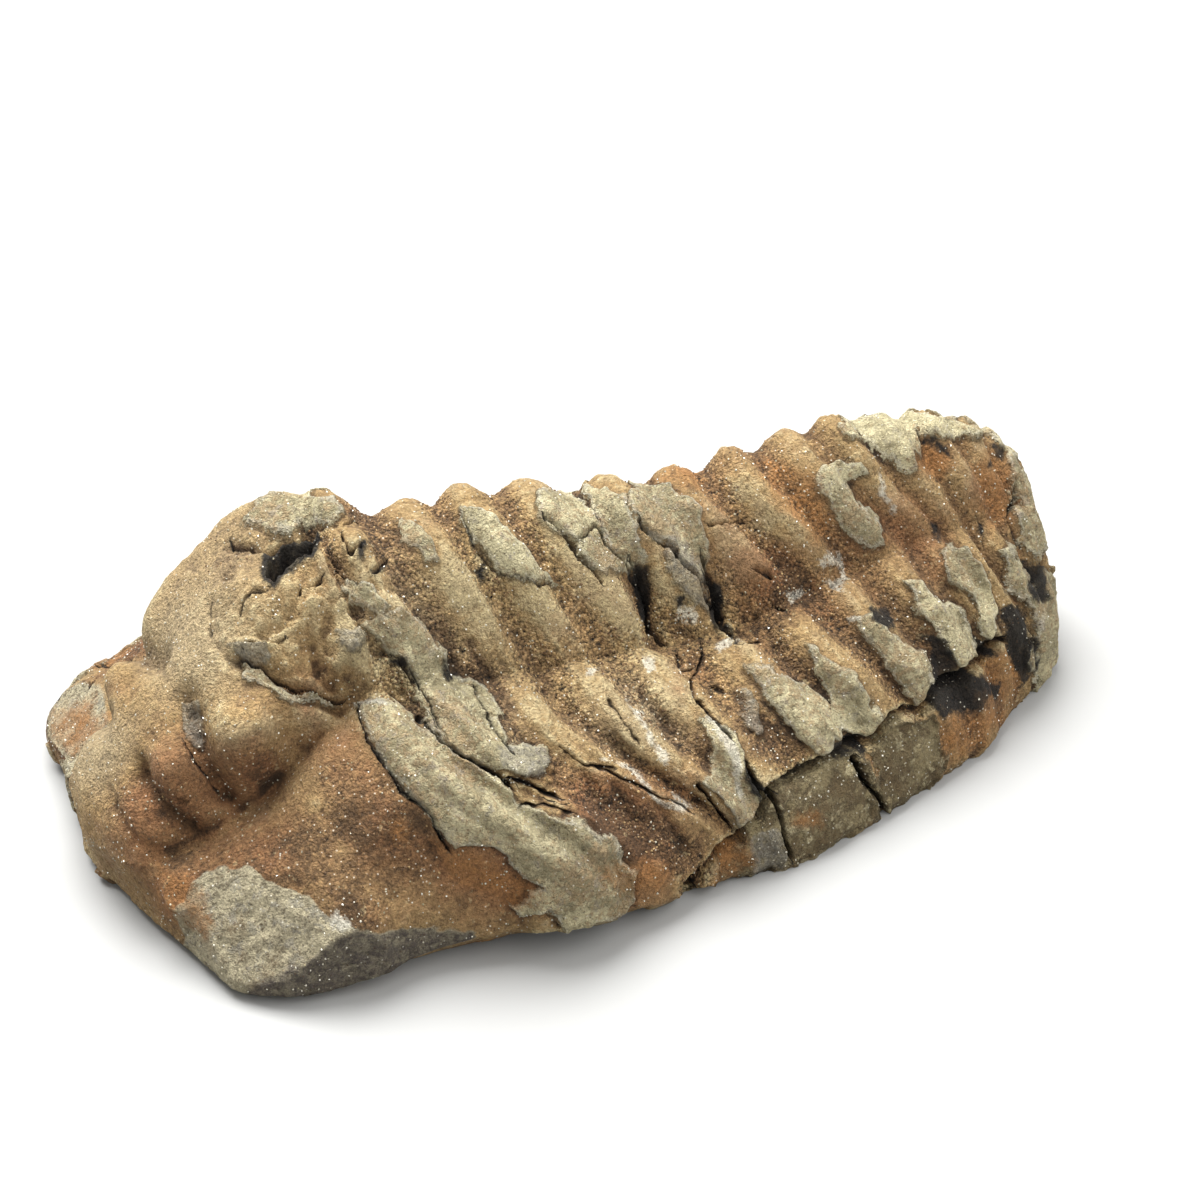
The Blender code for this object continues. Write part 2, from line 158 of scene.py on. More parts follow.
def read_column(rows, column, place):
    """One column between the stations: a cubic through the rows that never overshoots."""
    values = np.array([row[column] for row in rows])
    steps = np.diff(values)
    same_way = steps[1:] * steps[:-1] > 0
    total = np.where(same_way, steps[1:] + steps[:-1], 1.0)
    slopes = np.concatenate((steps[:1], np.where(same_way, 2 * steps[1:] * steps[:-1] / total, 0.0),
                             steps[-1:]))
    start = np.clip(place.astype(int), 0, len(values) - 2)
    t = place - start
    return (values[start] * (2 * t**3 - 3 * t**2 + 1) + slopes[start] * (t**3 - 2 * t**2 + t)
            + values[start + 1] * (3 * t**2 - 2 * t**3) + slopes[start + 1] * (t**3 - t**2))


def ramp(values, low, high):
    """0 below low, 1 above high, and a smooth step between them."""
    t = np.clip((values - low) / (high - low), 0.0, 1.0)
    return t * t * (3 - 2 * t)


def lay_half(side, station, rib_columns):
    """Points of one half, from the crest to the edge, for every line along the body."""
    rows = HEAD_ROWS + RING_ROWS
    crest_x, crest_z, lobe_y, lobe_x, lobe_z = (
        read_column(rows, column, station)[:, None] for column in range(5))
    first = 5 if side < 0 else 8
    edge_x, edge_y, edge_z = (
        read_column(rows, first + k, station)[:, None] for k in range(3))

    across = np.linspace(0, 1, LOBE_COLUMNS + 1)[None, :]
    lobe = (crest_x + (lobe_x - crest_x) * across**LOBE_POWER,
            lobe_y * across,
            lobe_z + (crest_z - lobe_z) * (1 - across**LOBE_POWER))

    angle = np.linspace(0, np.pi / 2, rib_columns + 1)[None, 1:]
    out, up = np.sin(angle), np.cos(angle)
    late = RIB_SWEEP[0] + (RIB_SWEEP[1] - RIB_SWEEP[0]) * ramp(station, FIRST_RING + 2, FIRST_RING + 5)
    rib = (lobe_x + (edge_x - lobe_x) * out**late[:, None],
           lobe_y + (edge_y - lobe_y) * out,
           edge_z + (lobe_z - edge_z) * up)

    half = np.stack([np.concatenate(pair, axis=1) for pair in zip(lobe, rib)], axis=-1)
    half[..., 1] *= side
    return half


def lay_bed(far_edge, near_edge):
    """Underside between the two edges, deepest in the middle."""
    t = np.linspace(0, 1, BED_COLUMNS + 1)[None, 1:-1, None]
    bed = far_edge[:, None] * (1 - t) + near_edge[:, None] * t
    half_width = (far_edge[:, 1] - near_edge[:, 1])[:, None] / 2
    full = 1 - np.abs(2 * t[..., 0] - 1)**8
    bed[..., 2] -= np.minimum(half_width, BED_DEPTH + bed[..., 2]) * full
    return bed


def half_shares(rib_columns):
    """How far out each column is: 0 at the crest, 1 in the furrow, 2 at the edge."""
    return np.concatenate((np.linspace(0, 1, LOBE_COLUMNS + 1),
                           1 + np.linspace(0, 1, rib_columns + 1)[1:]))


stations = np.linspace(0, LAST_STATION, LINES_PER_STATION * LAST_STATION + 1)
near_half = lay_half(-1, stations, NEAR_RIB_COLUMNS)
far_half = lay_half(1, stations, FAR_RIB_COLUMNS)
grid = np.concatenate((near_half[:, ::-1], far_half[:, 1:], lay_bed(far_half[:, -1], near_half[:, -1])),
                      axis=1)
lines, columns = grid.shape[:2]
near_share, far_share = half_shares(NEAR_RIB_COLUMNS), half_shares(FAR_RIB_COLUMNS)

station = np.repeat(stations, columns)
share = np.tile(np.concatenate((near_share[::-1], far_share[1:], np.full(BED_COLUMNS - 1, 2.0))), lines)
on_top = np.tile(np.arange(columns) < len(near_share) + len(far_share) - 1, lines)
loft = grid.reshape(-1, 3)
print("loft:", lines, "lines of", columns, "points")

# %% [markdown]
# ## Relief shared with the solid
#
# Rings, lobes and furrows were already raised on the solid, away from a line inside the
# body.  The same rows and the same heights are used here, so that the dressed stone lies
# where the solid does, and the loft has many more points, which the finer steps need.  Two
# things differ: the thick plates have steeper edges, and no rings are raised on the rock
# that covers the neck.

# %% Rings, lumps and furrows
# Crest to furrow of a ring, at shares of the way out: crest, lobe's side, furrow, rib, edge.
RING_SHARES, RING_HEIGHTS = (0.0, 0.5, 1.0, 1.3, 2.0), (1.1, 1.5, 1.5, 1.6, 0.6)
RING_BREADTH = 1.4              # above 1 the rings are broad and the furrows narrow
TAIL_CALM = 0.45                # how much lower the rings are on the tail
ROUGHNESS = ((6.0, 0.55), (2.6, 0.22))      # lump size, height

# Rounded lumps: centre, radius, height.
LUMPS = (
    ((-25.8, -6.8, 15.2), 3.0, 2.6),        # hind lobes of the glabella
    ((-25.8, 6.8, 15.2), 3.0, 2.6),
    ((-31.0, -5.4, 12.8), 2.4, 1.8),        # middle lobes
    ((-30.0, 6.6, 13.0), 2.8, 2.4),
    ((-17.2, -7.0, 20.4), 1.9, 1.0),        # knobs at the ends of the neck ring
    ((-21.6, 8.8, 18.0), 5.0, 5.2),         # raised block on the far side of the neck
    ((-16.6, 6.6, 22.0), 4.4, 3.5),
    ((-17.6, 7.0, 22.2), 2.0, 0.4),
    ((-12.8, 4.8, 23.8), 2.3, 1.5),
    ((-25.4, -18.4, 6.0), 5.2, 2.6),        # rock left at the near front corner
    ((-33.0, 15.5, 5.0), 5.0, 0.9),         # rock left at the far front corner
    ((-33.2, -10.6, 5.6), 1.8, 0.8),        # stained bump in front of the near corner
)

# Furrows: width, depth, points.
FURROWS = (
    (1.2, 1.6, ((-28.8, -2.8, 17.4), (-28.5, -5.7, 14.6), (-28.2, -7.6, 11.5))),
    (1.1, 1.2, ((-33.1, -3.8, 12.3), (-32.4, -5.9, 11.2), (-31.3, -7.6, 9.3))),
    (1.3, 1.1, ((-32.8, -8.1, 7.5), (-27.2, -8.6, 9.9), (-22.2, -8.9, 13.7), (-18.2, -8.4, 17.2))),
    (1.6, 1.4, ((-24.6, -8.8, 12.0), (-22.6, -8.2, 15.0))),
    (0.7, 0.9, ((-24.7, -4.0, 20.6), (-21.3, -7.1, 18.3), (-18.2, -8.3, 17.2))),
    (0.9, 1.3, ((-19.6, -5.4, 21.8), (-18.8, -7.8, 18.2))),
    (1.2, 1.6, ((-28.8, 2.8, 17.4), (-28.5, 5.7, 14.6), (-28.2, 7.6, 11.5))),
    (1.1, 1.2, ((-33.1, 3.8, 12.3), (-32.4, 5.9, 11.2), (-31.3, 7.6, 9.3))),
    (1.0, 1.4, ((8.0, -5.4, 20.2), (8.3, -7.9, 14.4))),
    (0.9, 1.2, ((13.7, -6.6, 16.2), (15.2, -8.6, 13.2))),
)

# The two thickest plates of shell, as outlines seen from above: height, points.
THICK_PLATES = (
    (0.9, ((-17.9, -8.4), (-17.8, -12.1), (-16.3, -17.9), (-15.0, -20.0), (-10.1, -22.0),
           (-8.4, -25.5), (-1.5, -25.5), (-3.6, -22.0), (-6.2, -20.4), (-9.8, -17.7),
           (-12.0, -15.4), (-13.1, -12.4), (-15.1, -8.5))),
    (0.9, ((-16.4, -5.6), (-12.5, -5.2), (-9.9, -7.4), (-8.0, -10.4), (-6.6, -14.9),
           (-5.0, -17.2), (-9.8, -17.4), (-12.2, -11.4), (-13.6, -7.6))),
)
PLATE_EDGE = 0.45               # half the width of the step at a thick plate's edge


def to_path(points, path):
    """Distance from each point to a broken line, and which side of it the point lies on."""
    nearest, side = np.full(len(points), np.inf), np.ones(len(points))
    for start, end in zip(path[:-1], path[1:]):
        start, run = np.array(start, float), np.array(end, float) - np.array(start, float)
        gap = points - start
        gap = gap - np.clip(gap @ run / (run @ run), 0.0, 1.0)[:, None] * run
        away = np.linalg.norm(gap, axis=1)
        side = np.where(away < nearest, np.sign(run[0] * gap[:, 1] - run[1] * gap[:, 0]), side)
        nearest = np.minimum(nearest, away)
    return nearest, side


def within_outline(points, outline):
    """Distance to a closed outline in a plane, positive within it."""
    inside = np.zeros(len(points), bool)
    x, y = points[:, 0], points[:, 1]
    for (ax, ay), (bx, by) in zip(outline, outline[1:] + outline[:1]):
        crosses = (ay > y) != (by > y)
        at = ax + (bx - ax) * (y - ay) / (by - ay if by != ay else 1.0)
        inside ^= crosses & (x < at)
    rim, _ = to_path(points[:, :2], outline + outline[:1])
    return np.where(inside, rim, -rim)


def outward(points):
    """Direction away from the line inside the body."""
    start, end, height = HEART
    heart = np.zeros_like(points)
    heart[:, 0] = np.clip(points[:, 0], start, end)
    heart[:, 2] = height
    way = points - heart
    way[:, 2] = np.maximum(way[:, 2], -0.3 * np.linalg.norm(way[:, :2], axis=1))
    return way / np.maximum(np.linalg.norm(way, axis=1), 1e-6)[:, None]


def lumpy(points, size, octaves=1, seed=0):
    """Smooth random lumps of one size, about -1 to 1, with finer ones added per octave."""
    places = (points / size + seed * 17.3).tolist()
    if octaves == 1:
        return np.array([noise.noise(place) for place in places])
    return np.array([noise.fractal(place, 0.8, 2.1, octaves) for place in places])


ring_present = ramp(station, FIRST_RING - 0.5, FIRST_RING + 0.2)
ring_present *= 1 - ramp(station, LAST_STATION - 1.6, LAST_STATION - 0.6)
block = np.exp(-(np.linalg.norm(loft - np.array((-16.6, 6.6, 21.5)), axis=1) / 4.6)**4)
ring_present *= 1 - 0.9 * block         # no rings on the rock that covers the neck
ring_wave = 1 - (0.5 - 0.5 * np.cos(2 * np.pi * station))**RING_BREADTH    # 0 between rings
axial_furrow = np.exp(-((share - 1.0) / 0.12)**2)

relief = sum(amount * lumpy(loft, size) for size, amount in ROUGHNESS)
ring_height = np.interp(share, RING_SHARES, RING_HEIGHTS)
ring_height *= 1 - TAIL_CALM * ramp(station, FIRST_RING + 6, LAST_STATION - 1)
rings = on_top * (ring_wave - 0.6) * ring_height * ring_present * (1 - 0.5 * axial_furrow)
relief += rings
for centre, radius, amount in LUMPS:
    relief += on_top * amount * np.exp(-(np.linalg.norm(loft - np.array(centre), axis=1) / radius)**2)
for width, depth, path in FURROWS:
    relief -= on_top * depth * np.exp(-(to_path(loft, path)[0] / width)**2)
for amount, outline in THICK_PLATES:
    relief += on_top * amount * ramp(within_outline(loft, outline), -PLATE_EDGE, PLATE_EDGE)

stone = loft + outward(loft) * relief[:, None]
print("relief from", relief.min().round(2), "to", relief.max().round(2), "mm")

# %% [markdown]
# ## Patches, cracks and pits drawn on the picture
#
# The plates of shell, the stains and the cracks follow no rule, so they are drawn: a patch
# is an outline, a crack is a path, and a lump or a pit is a centre with a radius.  A patch
# is kept as a distance to its edge, positive inside, because a distance stays smooth from
# point to point and the material can cut it as sharply as it likes.  The places are first
# shaken by noise, which turns a plain outline of a few points into a ragged edge.
#
# Every table is in picture units.  A patch, a crack and a groove are written as the points
# they run through, 'x,y x,y', and a lump is raised by a height in millimetres.

# %% Drawing tools
FAR_OFF = 30.0                  # distances are cut off here, in picture units
SHAKE = ((2.2, 4.0), (0.7, 2.0), (0.28, 0.8))       # lump size in mm, shake in picture units
PATCH_SHAKE = ((2.6, 9.0), (0.9, 4.0))              # patches are shaken more than cracks


def shaken(places, shakes, seed):
    """Places on the picture, moved a little by noise on the stone."""
    for turn, (size, amount) in enumerate(shakes):
        places = places + amount * np.stack((lumpy(stone, size, seed=seed + turn),
                                             lumpy(stone, size, seed=seed + turn + 10)), axis=1)
    return places


picture = shaken(on_picture(stone), SHAKE, 1)
patch_picture = shaken(picture, PATCH_SHAKE, 5)
to_eye = EYE - stone
to_eye /= np.linalg.norm(to_eye, axis=1)[:, None]
seen = ramp((outward(stone) * to_eye).sum(axis=1), -0.22, -0.02) * on_top


def drawn(text):
    """The points of a shape drawn on the picture, written as 'x,y x,y'."""
    return [tuple(float(v) for v in point.split(",")) for point in text.split()]


def close_to(places, path):
    """Which points have a picture place close enough to a path to matter."""
    low, high = np.min(path, axis=0) - FAR_OFF, np.max(path, axis=0) + FAR_OFF
    return ((places > low) & (places < high)).all(axis=1) & (seen > 0)


def patches(outlines, places=patch_picture):
    """Distance to the nearest edge of any of the outlines, positive inside one."""
    edge = np.full(len(stone), -FAR_OFF)
    for outline in map(drawn, outlines):
        close = close_to(places, outline)
        edge[close] = np.maximum(edge[close], within_outline(places[close], outline))
    return np.clip(edge, -FAR_OFF, FAR_OFF)


def line_drawn(text):
    """Distance to one path in picture units, and which side of it each point is on."""
    away, side = np.full(len(stone), FAR_OFF), np.ones(len(stone))
    path = drawn(text)
    close = close_to(picture, path)
    away[close], side[close] = to_path(picture[close], path)
    return np.minimum(away, FAR_OFF), side


print("points the camera sees:", int((seen > 0.5).sum()), "of", len(stone))

# %% Plates of shell
SHELL = (
    "355,705 385,696 405,712 420,720 440,740 470,760 490,775 510,790 520,805 550,812 580,820 "
    "610,840 632,870 628,895 605,922 560,932 545,905 540,890 520,870 505,853 480,850 450,845 "
    "430,815 400,790 385,760 365,740",
    "360,630 400,615 420,620 430,640 450,665 480,690 500,715 515,745 545,750 548,770 520,775 "
    "480,765 440,740 425,720 415,700 405,680 400,660 380,645",
    "400,525 425,528 440,560 425,565 405,550",
    "462,508 500,515 530,560 560,592 545,583 500,572 480,560 470,540 460,515",
    "540,493 575,495 600,535 640,572 600,580 575,548 545,520",
    "580,488 625,497 640,530 646,568 620,562 600,535 588,512",
    "625,493 670,486 700,510 705,545 714,592 692,566 652,538 635,520",
    "812,478 830,465 845,458 860,470 862,480 845,485 856,500 876,520 884,548 872,556 850,532 "
    "835,512 820,495",
    "835,425 870,416 905,411 950,418 985,427 1005,440 1022,470 1038,500 1047,540 1035,560 "
    "1018,542 1012,500 1002,452 985,440 960,434 950,442 935,432 915,437 918,466 903,474 880,448 "
    "855,438",
    "936,550 945,546 965,550 980,570 990,590 1000,615 1000,640 990,645 980,630 965,600 950,575",
    "905,580 920,578 940,595 955,610 968,630 972,660 962,672 950,660 935,640 920,610",
    "855,620 870,615 890,630 905,640 925,660 933,680 928,700 915,708 905,695 880,660 862,635",
    "1000,545 1012,548 1025,575 1022,608 1008,590",
    "748,668 765,665 785,670 805,685 820,695 838,712 842,735 835,750 825,760 812,755 800,742 "
    "785,720 765,695 755,680",
    "808,650 825,655 845,670 860,690 875,705 885,722 880,735 870,742 850,735 838,725 824,690",
    "700,720 715,722 735,742 745,760 757,785 763,805 760,815 745,825 735,828 725,810 712,795 "
    "702,785 708,750",
    "245,525 250,505 290,493 330,498 345,515 318,524 280,530",
    "238,662 262,678 290,690 332,702 342,709 318,708 282,698 252,684",
    "345,578 368,590 392,612 380,625 352,612 340,590",
    "505,896 535,890 562,896 556,912 520,914",
    "1016,590 1036,565 1054,572 1068,640 1056,692 1038,700 1026,668 1034,620",
)
OLIVE = (
    "756,812 795,776 838,758 864,762 880,792 892,815 850,846 795,868 780,838",
    "866,752 892,728 932,712 950,762 928,802 892,818 876,785",
    "714,862 745,834 768,806 784,832 794,866 740,890 716,890",
)
GREY = (
    "500,745 532,748 548,758 545,775 520,777 502,766",
    "660,540 685,548 702,575 705,600 688,598 668,570",
    "690,600 710,598 712,614 694,614",
    "735,690 752,700 762,728 752,738 738,716",
    "335,644 350,642 358,655 342,660",
    "182,700 200,698 206,732 200,750 186,740",
    "338,634 356,628 366,640 346,650",
    "232,644 262,650 270,668 252,668 236,656",
    "745,850 768,826 786,832 786,868 758,872",
)

ROCK_TOP = ("190,884 217,873 241,862 262,873 276,884 303,892 319,911 357,924 354,932 325,943 "
            "298,965 260,986 233,1004 222,992 178,943 182,905")
ROCK_SIDE = ("357,924 384,932 430,928 476,932 472,950 449,962 384,985 319,1010 228,1012 233,1002 "
             "260,986 298,965 325,943 354,932")

shell = patches(SHELL)
olive = patches(OLIVE)
rock_top, rock_side = patches((ROCK_TOP,)), patches((ROCK_SIDE,))
grey = patches(GREY)
print("patches of shell:", len(SHELL), "olive:", len(OLIVE), "grey:", len(GREY))

# %% Stains and coloured pockets
# Black patches: real stains, and black painted shade in gaps, under plates and in crevices.
BLACK_STAINS_AND_SHADE = (
    "922,632 945,640 960,680 958,712 940,720 928,700 932,668",
    "965,630 985,640 1002,640 1000,660 975,662",
    "1002,605 1026,612 1034,650 1024,688 1008,660",
    "1020,560 1040,562 1042,600 1028,602",
    "940,682 975,672 1002,682 985,708 948,712",
    "868,610 885,607 898,618 890,628 872,624",
    "934,432 940,440 948,450 952,462 944,456 928,440 914,438",
    "989,447 998,446 1000,460 990,462",
    "930,520 942,522 940,540 932,538",
    "975,515 985,517 984,533 977,531",
    "836,748 850,735 866,738 862,756 845,766",
    "744,762 752,766 764,798 756,802 748,782",
    "634,566 652,566 652,604 646,628 640,600",
    "703,574 716,580 722,618 734,640 718,628 708,598",
    "372,570 386,562 388,568 376,576",
    "360,548 366,540 370,560 362,566",
    "390,658 403,660 404,668 393,668",
    "440,662 455,668 456,684 444,678",
    "674,598 686,598 690,612 678,616",
    "480,572 488,568 492,580 484,584",
)
ORANGE = (
    "186,892 200,896 212,925 204,940 188,925",
    "915,440 930,436 948,450 952,464 938,474 920,468",
    "982,452 998,452 1010,490 1010,520 994,524 982,500",
    "762,470 790,466 812,470 818,500 834,536 814,540 786,510 768,490",
    "985,650 1012,655 1022,680 1010,702 992,690",
    "165,868 186,876 188,905 176,922 164,900",
    "430,840 470,862 520,872 535,895 500,898 455,880",
    "600,868 640,862 668,870 660,890 625,892",
    "714,848 745,838 752,862 735,886 716,880",
    "800,816 818,816 820,828 802,832",
    "655,475 680,466 700,466 705,488 680,482",
    "940,720 985,712 1010,715 985,745 950,760",
    "388,822 402,822 404,842 392,846",
)
# White patches: pale marks, and painted highlights where sparkles and the bright corner of the broken facet
# are.
WHITE_MARKS_AND_HIGHLIGHTS = (
    "322,906 344,914 357,924 342,931 326,924",
    "628,698 640,714 669,764 663,762 634,716",
    "606,758 640,774 692,810 686,812 638,782",
    "708,720 718,726 741,768 745,800 739,796 716,738",
    "880,470 888,480 892,520 886,518",
    "350,704 372,697 392,706 374,705",
    "718,640 735,640 736,650 722,652",
    "675,616 694,614 696,624 680,626",
    "584,664 598,662 598,670 588,672",
    "640,655 654,655 656,668 644,670",
    "788,592 802,592 800,598 790,600",
    "848,618 860,618 860,624 850,626",
    "816,556 828,548 846,560 848,582 840,590 822,584 828,578 840,576 842,566 830,558 824,566",
)

black_stain_and_shade = patches(BLACK_STAINS_AND_SHADE)
orange = patches(ORANGE)
white_mark_and_highlight = patches(WHITE_MARKS_AND_HIGHLIGHTS)

# %% Slabs that have slipped below the long crack
SLAB_DROP = 0.75                # mm

slab = ramp(olive, -2.0, 5.0) * seen

# %% Cracks and crevices
# width in picture units, depth in mm, path
CRACKS = (
    (10.0, 3.0, "688,890 700,870 720,855 735,838 755,822 762,805 770,795 790,780 800,770 820,762 "
                "835,760 850,750 865,745 880,735 890,722 900,715 918,710 928,700 935,690 945,682 "
                "960,678 970,670 985,655 1000,643"),
    (4.5, 2.0, "775,800 785,825 792,860"),
    (4.5, 2.0, "857,762 870,785 885,805 890,818"),
    (4.0, 1.8, "745,762 752,775 762,798"),
    (2.5, 1.4, "702,788 715,805 730,825"),
    (2.8, 1.0, "244,662 262,672 275,680 300,690 320,698 342,702"),
    (1.6, 0.5, "240,643 262,645 282,640"),
    (1.0, 0.3, "240,608 245,600 252,594 262,592"),
    (1.8, 0.6, "299,596 302,588 314,584 322,576"),
    (2.4, 0.8, "340,540 344,552 350,560 360,552"),
    (1.0, 0.3, "212,600 208,618 209,630"),
    (1.4, 0.4, "330,560 338,575 356,584"),
    (2.2, 0.7, "372,572 378,565 386,562"),
    (2.0, 0.6, "386,655 394,660 404,672 410,684"),
    (2.6, 0.9, "358,708 368,740 388,765 402,792 432,818 452,848"),
    (3.0, 1.0, "418,718 425,722 440,740 462,756 478,762 500,777 514,790"),
    (3.4, 1.2, "508,778 530,785 562,800"),
    (2.0, 0.7, "520,806 548,806 570,812"),
    (1.6, 0.5, "404,666 418,690 432,716 446,738"),
    (1.8, 0.6, "470,690 484,712 500,738 512,752"),
    (2.6, 1.0, "580,540 592,530 600,535 625,565 635,580"),
    (3.6, 1.8, "632,562 642,575 648,600 650,630 662,645"),
    (2.6, 1.2, "640,520 648,532 680,560 700,580 712,602"),
    (3.8, 1.6, "702,560 712,580 718,605 724,625 736,642"),
    (1.8, 0.8, "708,526 724,522 740,525"),
    (2.2, 0.8, "675,655 683,672 690,668"),
    (1.8, 0.7, "700,640 705,655 692,678"),
    (2.6, 1.0, "690,680 695,700 715,720 730,740"),
    (1.8, 0.6, "712,688 727,692"),
    (1.8, 0.6, "757,570 770,578"),
    (1.8, 0.6, "770,600 782,610"),
    (1.6, 0.6, "745,642 760,640"),
    (2.4, 0.9, "1015,480 1013,500 1010,520 1018,540"),
    (2.0, 0.6, "1035,678 1040,697"),
    (2.0, 0.7, "545,520 575,548 600,582"),
    (1.8, 0.6, "462,516 472,542 484,562 500,573 545,585"),
    (1.0, 0.4, "610,700 622,716 640,745"),
    (2.0, 0.7, "563,745 585,765 612,770"),
    (1.8, 0.6, "600,770 640,785 690,812"),
    (2.6, 1.0, "232,540 262,546 300,532 330,527 355,522"),
    (1.6, 0.5, "185,745 196,765 215,790"),
)

CRACK_WANDER = 1.0              # how much a crack's half width varies, in picture units

crack, crack_side = np.full(len(stone), FAR_OFF), np.full(len(stone), FAR_OFF)
crack_width = np.zeros(len(stone))
detail = np.zeros(len(stone))
pinch = CRACK_WANDER * (lumpy(stone, 1.4, 2, seed=25) + 0.25)
for width, depth, path in CRACKS:
    away, side = line_drawn(path)
    half_width = 0.38 * width - pinch
    nearer = away - half_width < crack
    crack = np.where(nearer, away - half_width, crack)
    crack_side = np.where(nearer, away * side, crack_side)
    crack_width = np.where(nearer, half_width, crack_width)
    detail -= seen * depth * ramp(half_width - away, -0.3 * width - 1.2, 0.3 * width)
print("cracks:", len(CRACKS))

# Soft grooves: half width in picture units, depth in mm, path
GROOVES = (
    (10, 0.6, "196,716 204,750 216,780 236,806"),
    (9, 0.6, "142,762 152,790 168,812 190,828"),
    (7, 0.35, "112,790 120,815 134,836 156,852"),
    (13, -0.5, "200,836 222,820 252,802 276,778 294,750 320,728 342,706"),
    (5, 0.4, "166,852 196,838 222,820 252,802 276,778"),
    (10, 0.4, "302,640 318,664 334,690 346,704"),
    (7, 0.5, "212,600 210,622 216,645 236,660"),
    (8, 0.6, "336,600 330,618 322,636 330,650"),
    (8, 0.7, "232,546 262,548 300,530 330,524"),
    (8, 0.5, "300,600 286,622 262,632"),
    (7, 0.4, "580,690 610,730 640,775 668,820 682,850"),
    (6, 0.35, "600,760 624,800 640,840 650,870"),
    (6, 0.35, "555,730 585,780 610,830 622,860"),
    (7, 0.4, "470,640 500,690 530,730 565,760"),
    (6, 0.35, "540,690 575,735 600,765"),
    (6, 0.35, "640,690 668,730 690,770 700,800"),
    (6, 0.35, "776,650 800,680 822,708 840,730"),
    (6, 0.3, "722,640 748,672 775,712 800,748"),
)
for half_width, depth, path in GROOVES:
    away, _ = line_drawn(path)
    detail -= seen * depth * np.exp(-(away / half_width)**2)

# %% Crumbly rock
CRUMBLY = (
    "206,600 250,585 300,555 345,540 385,560 410,600 412,650 385,690 345,704 290,690 215,655",
    "236,540 262,522 320,515 345,530 330,556 268,560",
    "430,655 470,690 500,720 515,752 490,745 455,715 425,690",
    "500,760 545,770 585,800 610,835 575,822 520,805",
    "505,895 560,905 600,885 630,860 632,895 600,925 545,932",
)
CRUMB_HEIGHT = 0.55

crumbly = ramp(patches(CRUMBLY), -4.0, 8.0) * seen
crumbs = np.abs(lumpy(stone, 2.3, 3, seed=14)) - 0.25
detail += CRUMB_HEIGHT * crumbly * (crumbs + 0.35 * lumpy(stone, 0.8, 2, seed=15))

# %% Lumps, pits and slopes
# centre in picture units, radii along x and y, height in mm
BUMPS = (
    (330, 556, 14, 12, 0.9), (355, 548, 14, 16, 1.0), (345, 662, 16, 14, 1.0),
    (262, 556, 9, 6, 0.5), (325, 535, 10, 6, 0.5), (250, 744, 30, 32, 1.3), (176, 896, 12, 24, 0.7),
    (178, 776, 18, 36, 0.9), (132, 806, 14, 30, 0.5), (142, 650, 9, 11, -0.6),
    (360, 640, 24, 12, 0.7), (345, 680, 10, 12, -0.5), (300, 560, 10, 12, 0.6),
    (282, 590, 10, 16, 0.5), (240, 590, 18, 12, 0.5), (310, 608, 12, 10, 0.5),
    (262, 648, 22, 8, 0.5), (348, 600, 16, 12, 0.5), (227, 575, 8, 6, -0.5),
    (835, 568, 14, 12, -0.6), (838, 584, 6, 6, -1.0), (932, 458, 18, 20, -0.5),
    (996, 488, 13, 36, -0.4), (540, 795, 26, 12, -0.6), (388, 676, 22, 26, 0.75),
    (448, 672, 9, 12, -0.6), (852, 746, 14, 10, -0.8), (235, 620, 26, 16, -0.4),
    (645, 590, 9, 22, -0.8), (712, 595, 10, 26, -0.7), (310, 640, 20, 14, 0.4),
    (290, 590, 20, 12, 0.4), (120, 700, 14, 40, 0.4),
)
HOLE = ("264,578 266,562 276,550 292,541 310,537 316,542 310,556 296,564 284,572 274,584")
HOLE_DEPTH = 3.4

detail -= slab * (SLAB_DROP + 0.8 * rings)
for x, y, wide, tall, amount in BUMPS:
    far = ((picture[:, 0] - x) / wide)**2 + ((picture[:, 1] - y) / tall)**2
    detail += seen * amount * np.exp(-far)
hole = patches((HOLE,), picture)
detail -= seen * HOLE_DEPTH * ramp(hole, -2.0, 4.0)
# The pit's inside is painted black: painted shade.
black_stain_and_shade = np.maximum(black_stain_and_shade, hole + 7.0)
print("lumps and pits:", len(BUMPS))
